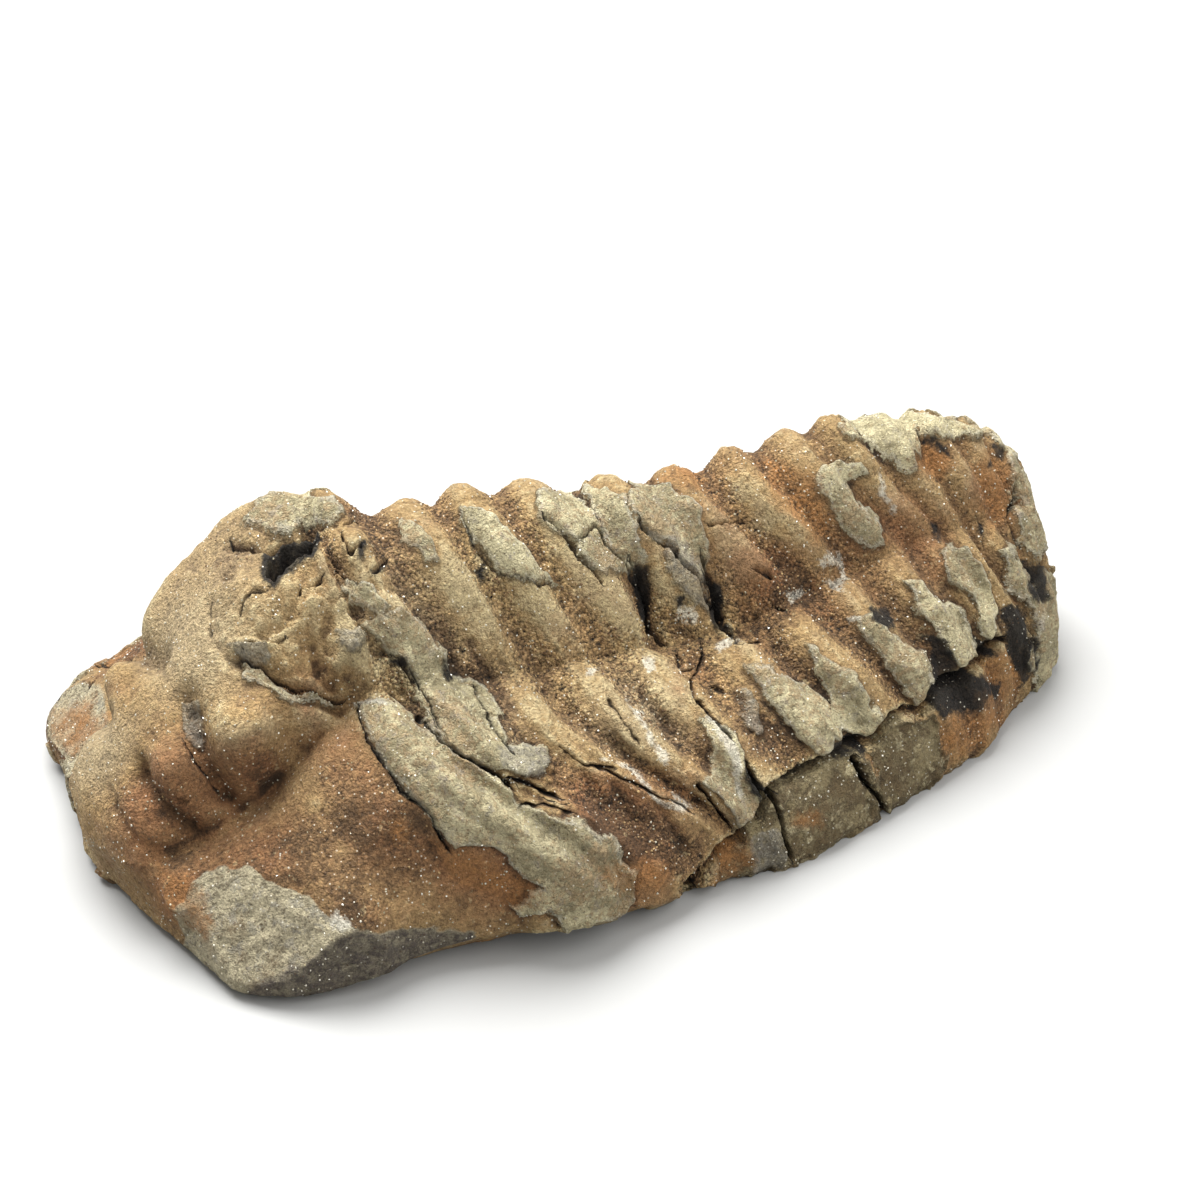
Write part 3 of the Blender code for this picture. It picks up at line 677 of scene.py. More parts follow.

# %% [markdown]
# ## Tones
#
# Broad patches of lighter, darker and redder stone have no edge at all, so they are only
# soft spots: a place, a radius and an amount.  Many tones are painted light and shade as
# well: they darken the shaded sides of lobes and furrows and lighten slopes that stay too
# dark under the lamps.  A tone above 0 is paler and one below 0 is browner; a red above 0
# is rusty mould and one below 0 is washed grey.

# %% Tones
# Soft spots of the stone's own tone, many of them painted light and shade: x, y, radius, amount.
TONES_AND_PAINTED_LIGHT = (
    (235, 560, 45, -0.9), (290, 510, 60, 0.3), (255, 630, 55, 0.35), (256, 808, 22, 1.3),
    (262, 764, 24, -1.6), (205, 760, 22, -0.4), (165, 800, 30, -0.3), (388, 826, 56, -1.6),
    (490, 885, 55, -0.5), (190, 890, 60, -1.1), (340, 780, 40, -0.5), (440, 600, 44, 0.5),
    (520, 600, 44, 0.7), (600, 600, 44, 0.7), (630, 850, 60, -0.9), (675, 800, 30, 0.5),
    (700, 840, 20, -0.6), (700, 730, 30, -0.4), (730, 680, 30, 0.3), (728, 566, 34, 1.0),
    (765, 530, 34, 0.4), (840, 772, 18, -1.0), (865, 550, 36, 0.4), (900, 490, 30, 0.5),
    (930, 640, 30, -0.4), (1000, 560, 30, -0.2), (990, 680, 40, -0.6), (960, 730, 40, -0.6),
    (770, 850, 50, -0.2), (600, 560, 30, 0.6), (680, 480, 34, -0.6), (550, 526, 40, 0.7),
    (486, 556, 34, 1.2), (960, 430, 60, 0.4), (1040, 640, 40, 1.0), (740, 450, 34, -0.6),
    (640, 660, 50, 0.6), (530, 690, 40, 0.3), (690, 860, 30, -0.3), (340, 510, 50, -0.7),
    (770, 740, 20, -0.6), (845, 690, 12, -0.6), (222, 715, 18, 0.7), (366, 892, 16, 0.8),
    (355, 914, 30, -1.9), (345, 850, 8, 1.2), (315, 805, 8, 1.2), (252, 706, 28, -0.7),
    (322, 676, 20, -1.0), (180, 795, 24, -0.7), (135, 810, 34, -0.9), (100, 868, 30, 1.3),
    (158, 908, 26, 0.9), (165, 735, 30, -0.7), (390, 665, 28, 1.4), (325, 710, 28, 1.1),
    (285, 765, 22, 0.8), (350, 640, 16, 0.8), (482, 690, 26, -1.8), (455, 620, 20, -0.8),
    (285, 858, 50, -1.2), (352, 608, 30, 0.8), (402, 690, 20, 1.2), (385, 645, 20, 0.8),
    (250, 600, 30, 0.5), (370, 560, 20, 0.4), (470, 600, 26, 0.6), (550, 600, 26, 0.6),
    (130, 650, 34, -0.6), (690, 600, 16, 0.6), (738, 490, 16, 1.2), (760, 528, 16, 1.2),
    (785, 594, 26, -2.0), (560, 720, 40, 0.4), (550, 855, 40, -1.0), (612, 822, 34, -2.6),
    (850, 500, 24, 0.4), (1030, 520, 24, -0.4),
)
REDS = (
    (172, 792, 40, 1.5), (125, 850, 40, 1.0), (235, 770, 50, 0.6), (176, 900, 26, 1.3),
    (262, 775, 30, 0.8), (330, 750, 34, 0.8), (450, 850, 40, 0.5), (520, 885, 36, 1.0),
    (640, 850, 50, 1.0), (600, 800, 30, 0.6), (985, 700, 30, 0.9), (940, 640, 24, 0.6),
    (770, 570, 34, 0.8), (900, 520, 34, 0.8), (735, 865, 24, 1.0), (680, 790, 24, 0.7),
    (470, 690, 24, 0.5), (690, 670, 26, 0.7), (935, 560, 30, 0.6), (830, 620, 24, 0.6),
    (120, 690, 20, 0.8), (190, 640, 60, -1.2), (300, 690, 24, 0.7), (98, 750, 44, -1.3),
    (470, 700, 60, -0.5), (640, 720, 50, -0.8), (390, 850, 60, 0.6), (480, 870, 44, 0.8),
    (740, 560, 50, 0.6), (860, 530, 50, 0.6), (230, 540, 60, -0.5), (400, 620, 60, -0.5),
    (240, 860, 60, 0.8), (620, 820, 50, 0.7), (180, 770, 44, 0.6), (995, 490, 34, 1.0),
    (935, 450, 24, 1.0),
)


def soft_spots(spots):
    """The sum of soft round spots drawn on the picture."""
    total = np.zeros(len(stone))
    for x, y, radius, amount in spots:
        far = ((picture[:, 0] - x)**2 + (picture[:, 1] - y)**2) / radius**2
        total += amount * np.exp(-far)
    return total


tone_and_painted_light, red = soft_spots(TONES_AND_PAINTED_LIGHT), soft_spots(REDS)
print("tones:", len(TONES_AND_PAINTED_LIGHT), "reds:", len(REDS))

# %% [markdown]
# ## The sides that the camera doesn't see
#
# The far flank has the same ribs, so it gets the same kinds of patches: shell where a rib
# stands highest and the noise agrees, stains and rust in a few broad spots, tones and reds,
# and a few thin cracks where a second noise crosses zero.  The two sides fade into each
# other where the surface turns away.

# %% Far side
PICTURE_UNITS = 12.0            # in a millimetre on the stone
HIDDEN_SHELL, HIDDEN_STAIN, HIDDEN_ORANGE = 0.20, 0.66, 0.30      # noise above this is a patch
HIDDEN_CRACK = 0.24             # half a hidden crack's width, in picture units
RIB_SHELL = 0.30                # how much likelier shell is on a rib than between two

hidden = 1 - seen


def noise_edge(size, octaves, seed, level, steep=4.0):
    """Distance to the edge of the patches where noise is above a level, in picture units."""
    return (lumpy(stone, size, octaves, seed=seed) - level) * steep * PICTURE_UNITS


far_shell = noise_edge(6.5, 4, 31, HIDDEN_SHELL - RIB_SHELL * (ring_wave - 0.5) * ring_present)
far_stain = noise_edge(6.5, 3, 41, HIDDEN_STAIN)
far_orange = noise_edge(7.5, 2, 51, HIDDEN_ORANGE)
far_crack_side = noise_edge(9.0, 2, 61, 0.0, steep=5.0)
far_crack = np.abs(far_crack_side) - HIDDEN_CRACK


def meet(near, far):
    """The drawn distance where the camera sees the stone, and the one from noise elsewhere."""
    return np.clip(near * seen + np.clip(far, -FAR_OFF, FAR_OFF) * hidden, -FAR_OFF, FAR_OFF)


shell, black_stain_and_shade = meet(shell, far_shell), meet(black_stain_and_shade, far_stain)
orange, crack = meet(orange, far_orange), meet(crack, far_crack)
olive, grey, white_mark_and_highlight = (meet(edge, -FAR_OFF) for edge in (olive, grey, white_mark_and_highlight))
tone_and_painted_light = tone_and_painted_light * seen + hidden * (1.6 * lumpy(stone, 7.0, 3, seed=71) - 0.3)
red = red * seen + hidden * (0.3 + 1.5 * lumpy(stone, 8.0, 3, seed=77))
out_of_sight = ramp(hidden, 0.85, 1.0) > 0.5
thin_out = 4.0 * ramp(lumpy(stone, 5.0, 2, seed=67), -0.15, 0.10)
crack_side = np.where(out_of_sight, far_crack_side, crack_side)
crack_width = np.where(out_of_sight, HIDDEN_CRACK + 0.6 - thin_out, crack_width)
print("share of the stone out of sight:", round(float(out_of_sight.mean()), 2))

# %% [markdown]
# ## Fine relief
#
# Three things give the stone its touch.  Plates stand 0.4 mm proud of the mould and are
# lumpy themselves.  Along each rib the mould is drawn out in low streaks, which noise gives
# when it is read from the ring number and the distance out instead of from places.  And
# everything is sandy, most of all in the furrows, where the grains stick.  Right at the edge
# the ribs are calmed, so that the skirt ends in an even line.

# %% Streaks, plates and sand
PLATE_HEIGHT, PLATE_LUMPS, EDGE_CALM = 0.42, 0.16, 0.7
STREAK_HEIGHT, GRAIN_HEIGHT, SAND_HEIGHT = 0.20, 0.10, 0.13
HIDDEN_CRACK_DEPTH = 0.5
TAIL_STATIONS = (14.0, 17.0)    # sand thins out between these

plated = np.maximum(np.maximum(shell, olive), grey)
plate_step = ramp(plated, -1.6, 1.6)
detail += PLATE_HEIGHT * plate_step * (on_top | (plated > 0))
detail += PLATE_LUMPS * plate_step * lumpy(stone, 1.7, 3, seed=16)
detail -= EDGE_CALM * rings * ramp(share, 1.72, 1.97)
detail -= (HIDDEN_CRACK_DEPTH * hidden * on_top * ramp(-crack, -2.0, 0.5)
           * ramp(crack_width, -1.0, 0.5))

along_rib = np.stack((station * 5.0, share * 2.2, np.sign(stone[:, 1]) * 3.0), axis=1)
streaks = lumpy(along_rib, 1.0, 2, seed=5) * (1 - 0.5 * ramp(plated, -2, 2))
detail += STREAK_HEIGHT * ring_present * on_top * streaks

in_furrow = ring_present * (1 - ring_wave) + (0.2 + 0.4 * ring_present) * axial_furrow
sandy = np.clip(ramp(in_furrow, 0.25, 0.9) + ramp(-tone_and_painted_light, 0.3, 1.0) * 0.3, 0, 1) * ramp(-plated, -1, 6)
sandy *= 1 - 0.6 * ramp(station, *TAIL_STATIONS)
detail += GRAIN_HEIGHT * lumpy(stone, 1.1, 2, seed=6)
detail += SAND_HEIGHT * (0.35 + 0.65 * sandy) * lumpy(stone, 0.42, 2, seed=7)

stone = stone + outward(loft) * detail[:, None]
print("fine relief from", detail.min().round(2), "to", detail.max().round(2), "mm")

# %% [markdown]
# ## Broken corners and the flat bed
#
# A break is a plane.  Every point that stands outside it is laid down onto it, with some
# coarse grain, so the facet meets the mould in one clean edge, as broken rock does.  The bed
# is laid down in the same way onto the ground, which is what the fossil rests on, and the
# last millimetre above the ground is drawn in a little, so that the rim casts a shadow.

# %% Breaks
# a point on the break, the direction it faces, the width of the facet
BREAKS = (
    ((-29.3, -17.1, 4.3), (-0.62, -0.52, 0.58), 18.0),
    ((-23.6, -20.9, 4.0), (-0.16, -0.98, -0.06), 20.0),
    ((-33.9, -14.0, 3.0), (-0.93, -0.33, 0.16), 20.0),
    ((-34.5, 15.0, 2.9), (-0.68, 0.22, 0.70), 18.0),
)
BREAK_REACH = 8.0
BREAK_GRAIN = ((2.4, 0.28), (0.8, 0.16), (0.3, 0.07))

fresh = np.full(len(stone), -5.0)
break_grain = sum(amount * lumpy(stone, size, seed=81) for size, amount in BREAK_GRAIN)
for point, facing, width in BREAKS:
    turn = np.array(Vector(facing).to_track_quat("Z", "Y").to_matrix())
    local = (stone - np.array(point)) @ turn
    room = width / 2 - np.abs(local[:, :2]).max(axis=1)
    outside = (local[:, 2] > 0) & (room > 0) & (local[:, 2] < BREAK_REACH)
    sink = np.where(outside, local[:, 2] - break_grain * ramp(local[:, 2], 0.0, 0.6), 0.0)
    stone = stone - sink[:, None] * turn[:, 2]
    fresh = np.maximum(fresh, np.where(room > 0, np.minimum(local[:, 2], room), -5.0))
print("points on the breaks:", int((fresh > 0).sum()))

# %% Bed
UNDERCUT_HEIGHT, UNDERCUT = 1.2, 0.02      # mm, share of the width
BED_ROUGHNESS = 0.5             # how deep the hollows in the underside are

stone = stone - MIDDLE
below = stone[:, 2] < 0
hollow = BED_ROUGHNESS * np.clip(lumpy(stone, 5.0, 3, seed=91), 0, 1)
inner = ramp(-(loft[:, 2]), 0.4, 1.6)
stone[:, 2] = np.where(below, hollow * inner, stone[:, 2])
stone[:, :2] *= 1 - UNDERCUT * ramp(UNDERCUT_HEIGHT - stone[:, 2:], 0.0, UNDERCUT_HEIGHT)
stone = np.clip(stone, LOWEST, HIGHEST)
bed = np.where(below, 1.0, 0.0)
print("box now:", stone.min(axis=0).round(2), stone.max(axis=0).round(2))

# %% [markdown]
# ## Hollows
#
# Sand lies thickest in the furrows.  The finish paints shade into hollows and a paler
# highlight onto edges.  How hollow a point is comes from the relief itself: the relief,
# smoothed over its neighbours on the loft, less the relief.

# %% Hollows


def smoothed(values, reach):
    """Mean over a square of neighbours on the loft, which closes on itself across."""
    field, window = values.reshape(lines, columns), 2 * reach + 1
    for axis, mode in enumerate(("edge", "wrap")):
        pad = [(0, 0), (0, 0)]
        pad[axis] = (reach + 1, reach)
        total = np.cumsum(np.pad(field, pad, mode=mode), axis=axis)
        field = ((np.roll(total, -window, axis) - total) / window)[:lines, :columns]
    return field.reshape(-1)


FAR_CORNER = 140                # the far broken corner lies left of this, in picture units

far_fresh = np.where(picture[:, 0] < FAR_CORNER, fresh * PICTURE_UNITS, -FAR_OFF)
fresh_rock = np.clip(np.maximum(np.maximum(rock_top, rock_side), far_fresh), -FAR_OFF, FAR_OFF)
# Where the finish paints shade on the broken side that faces away from the light.
shaded_side = ramp(rock_side, -2.0, 3.0) * seen
stained = ramp(black_stain_and_shade, -3.0, 1.0)
bare = on_top * (1 - ramp(fresh_rock, -2.0, 2.0)) * (1 - bed) * (1 - stained)
bare *= 1 - 0.75 * ramp(station, *TAIL_STATIONS)
drifts = ramp(lumpy(stone, 1.8, 2, seed=12), -0.25, 0.25)
grains = bare * np.clip(sandy * (1.3 - 0.3 * ring_wave), 0, 1) * drifts
sparkle = 0.25 + 0.75 * ramp(lumpy(stone, 4.0, 2, seed=13), -0.1, 0.3)
glints = on_top * (1 - bed) * (1 - 0.9 * stained) * sparkle
height = relief + detail
hollow_small = smoothed(height, LINES_PER_STATION // 10) - height
hollow_large = smoothed(smoothed(height, LINES_PER_STATION // 4), LINES_PER_STATION // 4) - height
print("hollows: small", np.percentile(hollow_small, (5, 95)).round(3), "large",
      np.percentile(hollow_large, (5, 95)).round(3))

# %% [markdown]
# ## One mesh
#
# The loft's lines and columns become faces, points that lie in one place are merged, and
# Decimate then thins what is flat.  It keeps the numbers at the points as well as their
# places, so the patches stay where they were drawn.
#
# The mesh is not quite closed.  At the two tips the ribs of both halves run down one seam,
# but the near half has more columns than the far one, so their points don't meet and aren't
# merged.  That leaves a slit under 0.02 mm wide, 15 mm long at the tail and 4 mm long at the
# head.  The same number of columns in both halves would close it.

# %% Mesh
MOST_TRIANGLES = 192_000

POINT_NUMBERS = {
    "shell": shell, "olive": olive, "grey": grey, "black_stain_and_shade": black_stain_and_shade, "orange": orange, "white_mark_and_highlight": white_mark_and_highlight,
    "red": red, "crack": crack, "crack_side": crack_side, "crack_width": crack_width, "tone_and_painted_light": tone_and_painted_light,
    "fresh": fresh_rock, "bed": bed, "sandy": sandy, "grains": grains, "glints": glints,
    "shaded_side": shaded_side,
    "furrow": in_furrow * on_top, "hollow_small": hollow_small, "hollow_large": hollow_large,
}


def loft_faces():
    """Corners of every face between two lines of the loft."""
    here = np.arange(lines - 1)[:, None] * columns + np.arange(columns)[None, :]
    beside = np.arange(lines - 1)[:, None] * columns + (np.arange(columns)[None, :] + 1) % columns
    return np.stack((here, here + columns, beside + columns, beside), axis=-1).reshape(-1, 4)


def closed_mesh(name, points, faces, numbers):
    """A mesh from points and faces with its doubles merged and its faces pointing out."""
    mesh = bpy.data.meshes.new(name)
    mesh.vertices.add(len(points))
    mesh.vertices.foreach_set("co", (points * MM).ravel())
    mesh.loops.add(faces.size)
    mesh.loops.foreach_set("vertex_index", faces.ravel())
    mesh.polygons.add(len(faces))
    mesh.polygons.foreach_set("loop_start", np.arange(len(faces)) * 4)
    mesh.update(calc_edges=True)
    for word, values in numbers.items():
        layer = mesh.attributes.new(word, "FLOAT", "POINT")
        layer.data.foreach_set("value", values.astype(np.float32))
    shape = bmesh.new()
    shape.from_mesh(mesh)
    bmesh.ops.remove_doubles(shape, verts=shape.verts, dist=0.004 * MM)
    bmesh.ops.recalc_face_normals(shape, faces=shape.faces)
    shape.to_mesh(mesh)
    shape.free()
    return mesh


def as_plain_mesh(piece, name):
    """The piece with its modifiers applied, as a mesh of its own."""
    graph = bpy.context.evaluated_depsgraph_get()
    mesh = bpy.data.meshes.new_from_object(piece.evaluated_get(graph), preserve_all_data_layers=True,
                                           depsgraph=graph)
    mesh.name = name
    return mesh


def keep_in_box(mesh):
    """Hold every point inside the solid's own box."""
    places = np.empty(3 * len(mesh.vertices))
    mesh.vertices.foreach_get("co", places)
    places = np.clip(places.reshape(-1, 3), LOWEST * MM, HIGHEST * MM)
    mesh.vertices.foreach_set("co", places.ravel())
    mesh.update()


cast = bpy.data.objects.new("cast", closed_mesh("cast", stone, loft_faces(), POINT_NUMBERS))
bpy.context.scene.collection.objects.link(cast)
triangles = 2 * len(cast.data.polygons)
if triangles > MOST_TRIANGLES:
    thin = cast.modifiers.new("thin", "DECIMATE")
    thin.ratio = MOST_TRIANGLES / triangles
    thinned = as_plain_mesh(cast, "cast_thinned")
    cast.modifiers.clear()
    cast.data = thinned
keep_in_box(cast.data)
cast.data.shade_smooth()
cast.data.calc_loop_triangles()
print("cast:", triangles, "triangles before and", len(cast.data.loop_triangles), "after thinning")

# %% [markdown]
# ## Sand and crystals
#
# Loose sand still clings to the furrows, and tiny clear crystals glitter all over the stone.
# Both are scattered over the cast with Geometry Nodes, because there are thousands of them
# and they must follow the surface.  A number at each point says how thickly they lie.  The
# grains are uneven lumps of twenty faces; the crystals are small blocks of six, so that each
# flashes as a flat facet when it happens to face the light.  Two small helpers add a node
# and fill its sockets; the finishes further down are built with them too.

# %% Sand and crystals
SAND_PER_MM2, SAND_SIZES = ((9.0, (0.05, 0.13)))
GLINT_PER_MM2, GLINT_SIZES = ((0.9, (0.06, 0.14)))
WHOLE_TURN = 6.283              # radians


def plug(tree, given, socket):
    """Link another socket to this one, or set its value; a colour gets its fourth number."""
    given = getattr(given, "socket", given)
    if isinstance(given, bpy.types.NodeSocket):
        tree.links.new(given, socket)
    else:
        socket.default_value = (*given, 1.0) if socket.type == "RGBA" else given


def add_node(tree, kind, settings=None, sockets=None):
    """Add a node: its settings first, then a value or a link for each named socket."""
    node = tree.nodes.new(kind)
    for word, setting in (settings or {}).items():
        setattr(node, word, setting)
    for word, given in (sockets or {}).items():
        plug(tree, given, node.inputs[word])
    return node


def scatter_tree(name, density_name):
    """A node tree that scatters one small shape over a surface, made real at its end."""
    tree = bpy.data.node_groups.new(name, "GeometryNodeTree")
    for word, kind in (("Geometry", "Geometry"), ("Most per square metre", "Float"), ("Smallest", "Float"),
                       ("Largest", "Float"), ("Seed", "Int"), ("Material", "Material"),
                       ("Shape", "Object")):
        tree.interface.new_socket(word, in_out="INPUT", socket_type="NodeSocket" + kind)
    tree.interface.new_socket("Geometry", in_out="OUTPUT", socket_type="NodeSocketGeometry")

    add = partial(add_node, tree)
    given = add("NodeGroupInput").outputs
    seed = given["Seed"]
    thick = add("GeometryNodeInputNamedAttribute", {"data_type": "FLOAT"}, {"Name": density_name})
    density = add("ShaderNodeMath", {"operation": "MULTIPLY"},
                  {0: thick.outputs[0], 1: given["Most per square metre"]})
    spots = add("GeometryNodeDistributePointsOnFaces", None,
                {"Mesh": given["Geometry"], "Density": density.outputs[0], "Seed": seed})
    turn = add("FunctionNodeRandomValue", {"data_type": "FLOAT_VECTOR"},
               {0: (0, 0, 0), 1: (WHOLE_TURN,) * 3, "Seed": seed})
    size = add("FunctionNodeRandomValue", {"data_type": "FLOAT_VECTOR"},
               {0: given["Smallest"], 1: given["Largest"], "Seed": seed})
    shape = add("GeometryNodeObjectInfo", None, {"Object": given["Shape"]})
    many = add("GeometryNodeInstanceOnPoints", None,
               {"Points": spots.outputs["Points"], "Instance": shape.outputs["Geometry"],
                "Rotation": turn.outputs[0], "Scale": size.outputs[0]})
    shade = add("FunctionNodeRandomValue", {"data_type": "FLOAT"}, {"Seed": seed})
    kept = add("GeometryNodeStoreNamedAttribute", {"data_type": "FLOAT", "domain": "INSTANCE"},
               {"Geometry": many.outputs["Instances"], "Name": "shade", "Value": shade.outputs[1]})
    real = add("GeometryNodeRealizeInstances", None, {"Geometry": kept.outputs["Geometry"]})
    dressed = add("GeometryNodeSetMaterial", None,
                  {"Geometry": real.outputs["Geometry"], "Material": given["Material"]})
    add("NodeGroupOutput", None, {"Geometry": dressed.outputs["Geometry"]})
    return tree


def scatter(name, density_name, shape, per_mm2, sizes, seed, material):
    """A piece made of one small shape scattered over the cast."""
    piece = bpy.data.objects.new(name, cast.data.copy())
    bpy.context.scene.collection.objects.link(piece)
    step = piece.modifiers.new("scatter", "NODES")
    step.node_group = scatter_tree(name, density_name)
    values = {"Most per square metre": per_mm2 / MM**2, "Smallest": sizes[0] * MM, "Largest": sizes[1] * MM,
              "Seed": seed, "Material": material, "Shape": shape}
    for item in step.node_group.interface.items_tree:
        if item.in_out == "INPUT" and item.name in values:
            step[item.identifier] = values[item.name]
    mesh = as_plain_mesh(piece, name)
    piece.modifiers.clear()
    piece.data = mesh
    for layer in [layer.name for layer in mesh.attributes if layer.name in POINT_NUMBERS]:
        mesh.attributes.remove(mesh.attributes[layer])
    keep_in_box(mesh)
    print(name + ":", len(mesh.polygons), "faces")
    return piece


def small_shape(name, make, **how):
    """A tiny shape of size 1, used as a stamp and then thrown away."""
    shape = bmesh.new()
    make(shape, **how)
    mesh = bpy.data.meshes.new(name)
    shape.to_mesh(mesh)
    shape.free()
    return bpy.data.objects.new(name, mesh)


# %% [markdown]
# ## Shader maths as expressions
#
# A finish here is mostly arithmetic on distances and noise.  Written with nodes it is a
# tangle, so one small class wraps a socket and lets it be added and multiplied as a number
# is; each sign adds its Math node.  Colours go through Mix, because a Math node greys them.

# %% Shader tools


class Value:
    """A socket that carries a number, for use in expressions."""

    def __init__(self, finish, socket):
        self.finish, self.socket = finish, socket

    def joined(self, operation, *terms):
        node = self.finish.node("ShaderNodeMath", {"operation": operation}, dict(enumerate(terms)))
        return Value(self.finish, node.outputs[0])

    def __add__(self, other):
        return self.joined("ADD", self, other)

    def __sub__(self, other):
        return self.joined("SUBTRACT", self, other)

    def __rsub__(self, other):
        return self.joined("SUBTRACT", other, self)

    def __mul__(self, other):
        return self.joined("MULTIPLY", self, other)

    def __truediv__(self, other):
        return self.joined("DIVIDE", self, other)

    __radd__, __rmul__ = __add__, __mul__

    def least(self, other):
        return self.joined("MINIMUM", self, other)

    def most(self, other):
        return self.joined("MAXIMUM", self, other)

    def size(self):
        return self.joined("ABSOLUTE", self)

    def kept(self):
        """The value, held between 0 and 1."""
        return self.most(0.0).least(1.0)

    def rises(self, low, high):
        """0 below low, 1 above high, and a smooth step between them."""
        node = self.finish.node("ShaderNodeMapRange", {"interpolation_type": "SMOOTHSTEP"},
                                {"Value": self, "From Min": low, "From Max": high})
        return Value(self.finish, node.outputs["Result"])


class Finish:
    """One material, built node by node."""

    def __init__(self, name):
        self.material = bpy.data.materials.new(name)
        self.material.use_nodes = True
        self.tree = self.material.node_tree
        self.shader = self.tree.nodes["Principled BSDF"]
        place = self.node("ShaderNodeTexCoord").outputs["Object"]
        scale = self.node("ShaderNodeVectorMath", {"operation": "SCALE"}, {0: place, "Scale": 1 / MM})
        self.place = scale.outputs[0]           # the place on the piece, in millimetres

    def node(self, kind, settings=None, sockets=None):
        return add_node(self.tree, kind, settings, sockets)

    def number(self, name):
        """A number that was stored at the points of the mesh."""
        return Value(self, self.node("ShaderNodeAttribute", {"attribute_name": name}).outputs["Fac"])

    def noise(self, size, detail=3.0, rough=0.6, shift=0.0):
        """Noise with lumps of the given size in millimetres, from 0 to 1."""
        place = self.node("ShaderNodeVectorMath", {"operation": "ADD"},
                          {0: self.place, 1: (shift, shift * 0.7, -shift)}).outputs[0]
        node = self.node("ShaderNodeTexNoise", None, {
            "Vector": place, "Scale": 1 / size, "Detail": detail, "Roughness": rough})
        return Value(self, node.outputs["Fac"])

    def cells(self, size, output="Distance"):
        """Voronoi cells of the given size: how far the middle is, or the cell's own colour."""
        node = self.node("ShaderNodeTexVoronoi", None, {"Vector": self.place, "Scale": 1 / size})
        return node.outputs[output]

    def blend(self, share, first, second, kind="MIX"):
        """A colour between two colours."""
        return self.node("ShaderNodeMix", {"data_type": "RGBA", "blend_type": kind},
                         {0: share, 6: first, 7: second}).outputs[2]

    def feed(self, **sockets):
        """Set or link sockets of the shader, with spaces written as underscores."""
        for word, given in sockets.items():
            plug(self.tree, given, self.shader.inputs[word.replace("_", " ")])


# %% [markdown]
# ## The stone's finish
#
# The mould is brown and sandy, and everything else is laid over it in the order in which it
# lies on the stone: tan where it is worn and where a tone paints light, plates of grey-beige
# shell with a painted highlight on their rim and a painted shadow under their edge, olive
# slabs and blue-grey patches, broken rock with painted shade on its side away from the
# light, rust, black and white stains among which lie black painted shade in gaps and pale
# painted highlights, and last of all painted shade in cracks and deep hollows.  Edges of
# patches are cut from the stored distances, roughened by noise, so they stay sharp however
# thin the mesh is.

# %% Colours
TAN = (0.300, 0.200, 0.088)
BROWN = (0.175, 0.104, 0.046)
DARK_BROWN = (0.070, 0.038, 0.017)
RED_BROWN = (0.190, 0.082, 0.034)
PALE = (0.410, 0.325, 0.175)
SHELL_PALE = (0.510, 0.455, 0.280)
SHELL_GREY = (0.240, 0.208, 0.118)
WASHED = (0.330, 0.285, 0.185)
SHELL_BROWN = (0.270, 0.195, 0.105)
OLIVE_GREY = (0.215, 0.175, 0.092)
OLIVE_DARK = (0.085, 0.062, 0.030)
BLUE_GREY = (0.195, 0.184, 0.154)
RUST = (0.285, 0.132, 0.042)
# The black is both real black stain and painted shade; the chalk is both pale marks and painted highlight.
STAIN_AND_SHADE_BLACK = (0.012, 0.010, 0.008)
CHALK_AND_HIGHLIGHT = (0.56, 0.53, 0.44)
ROCK_LIGHT = (0.405, 0.355, 0.232)
ROCK_DARK = (0.135, 0.112, 0.070)
ROCK_SIDE_SHADE = (0.072, 0.058, 0.048)

# %% Stone


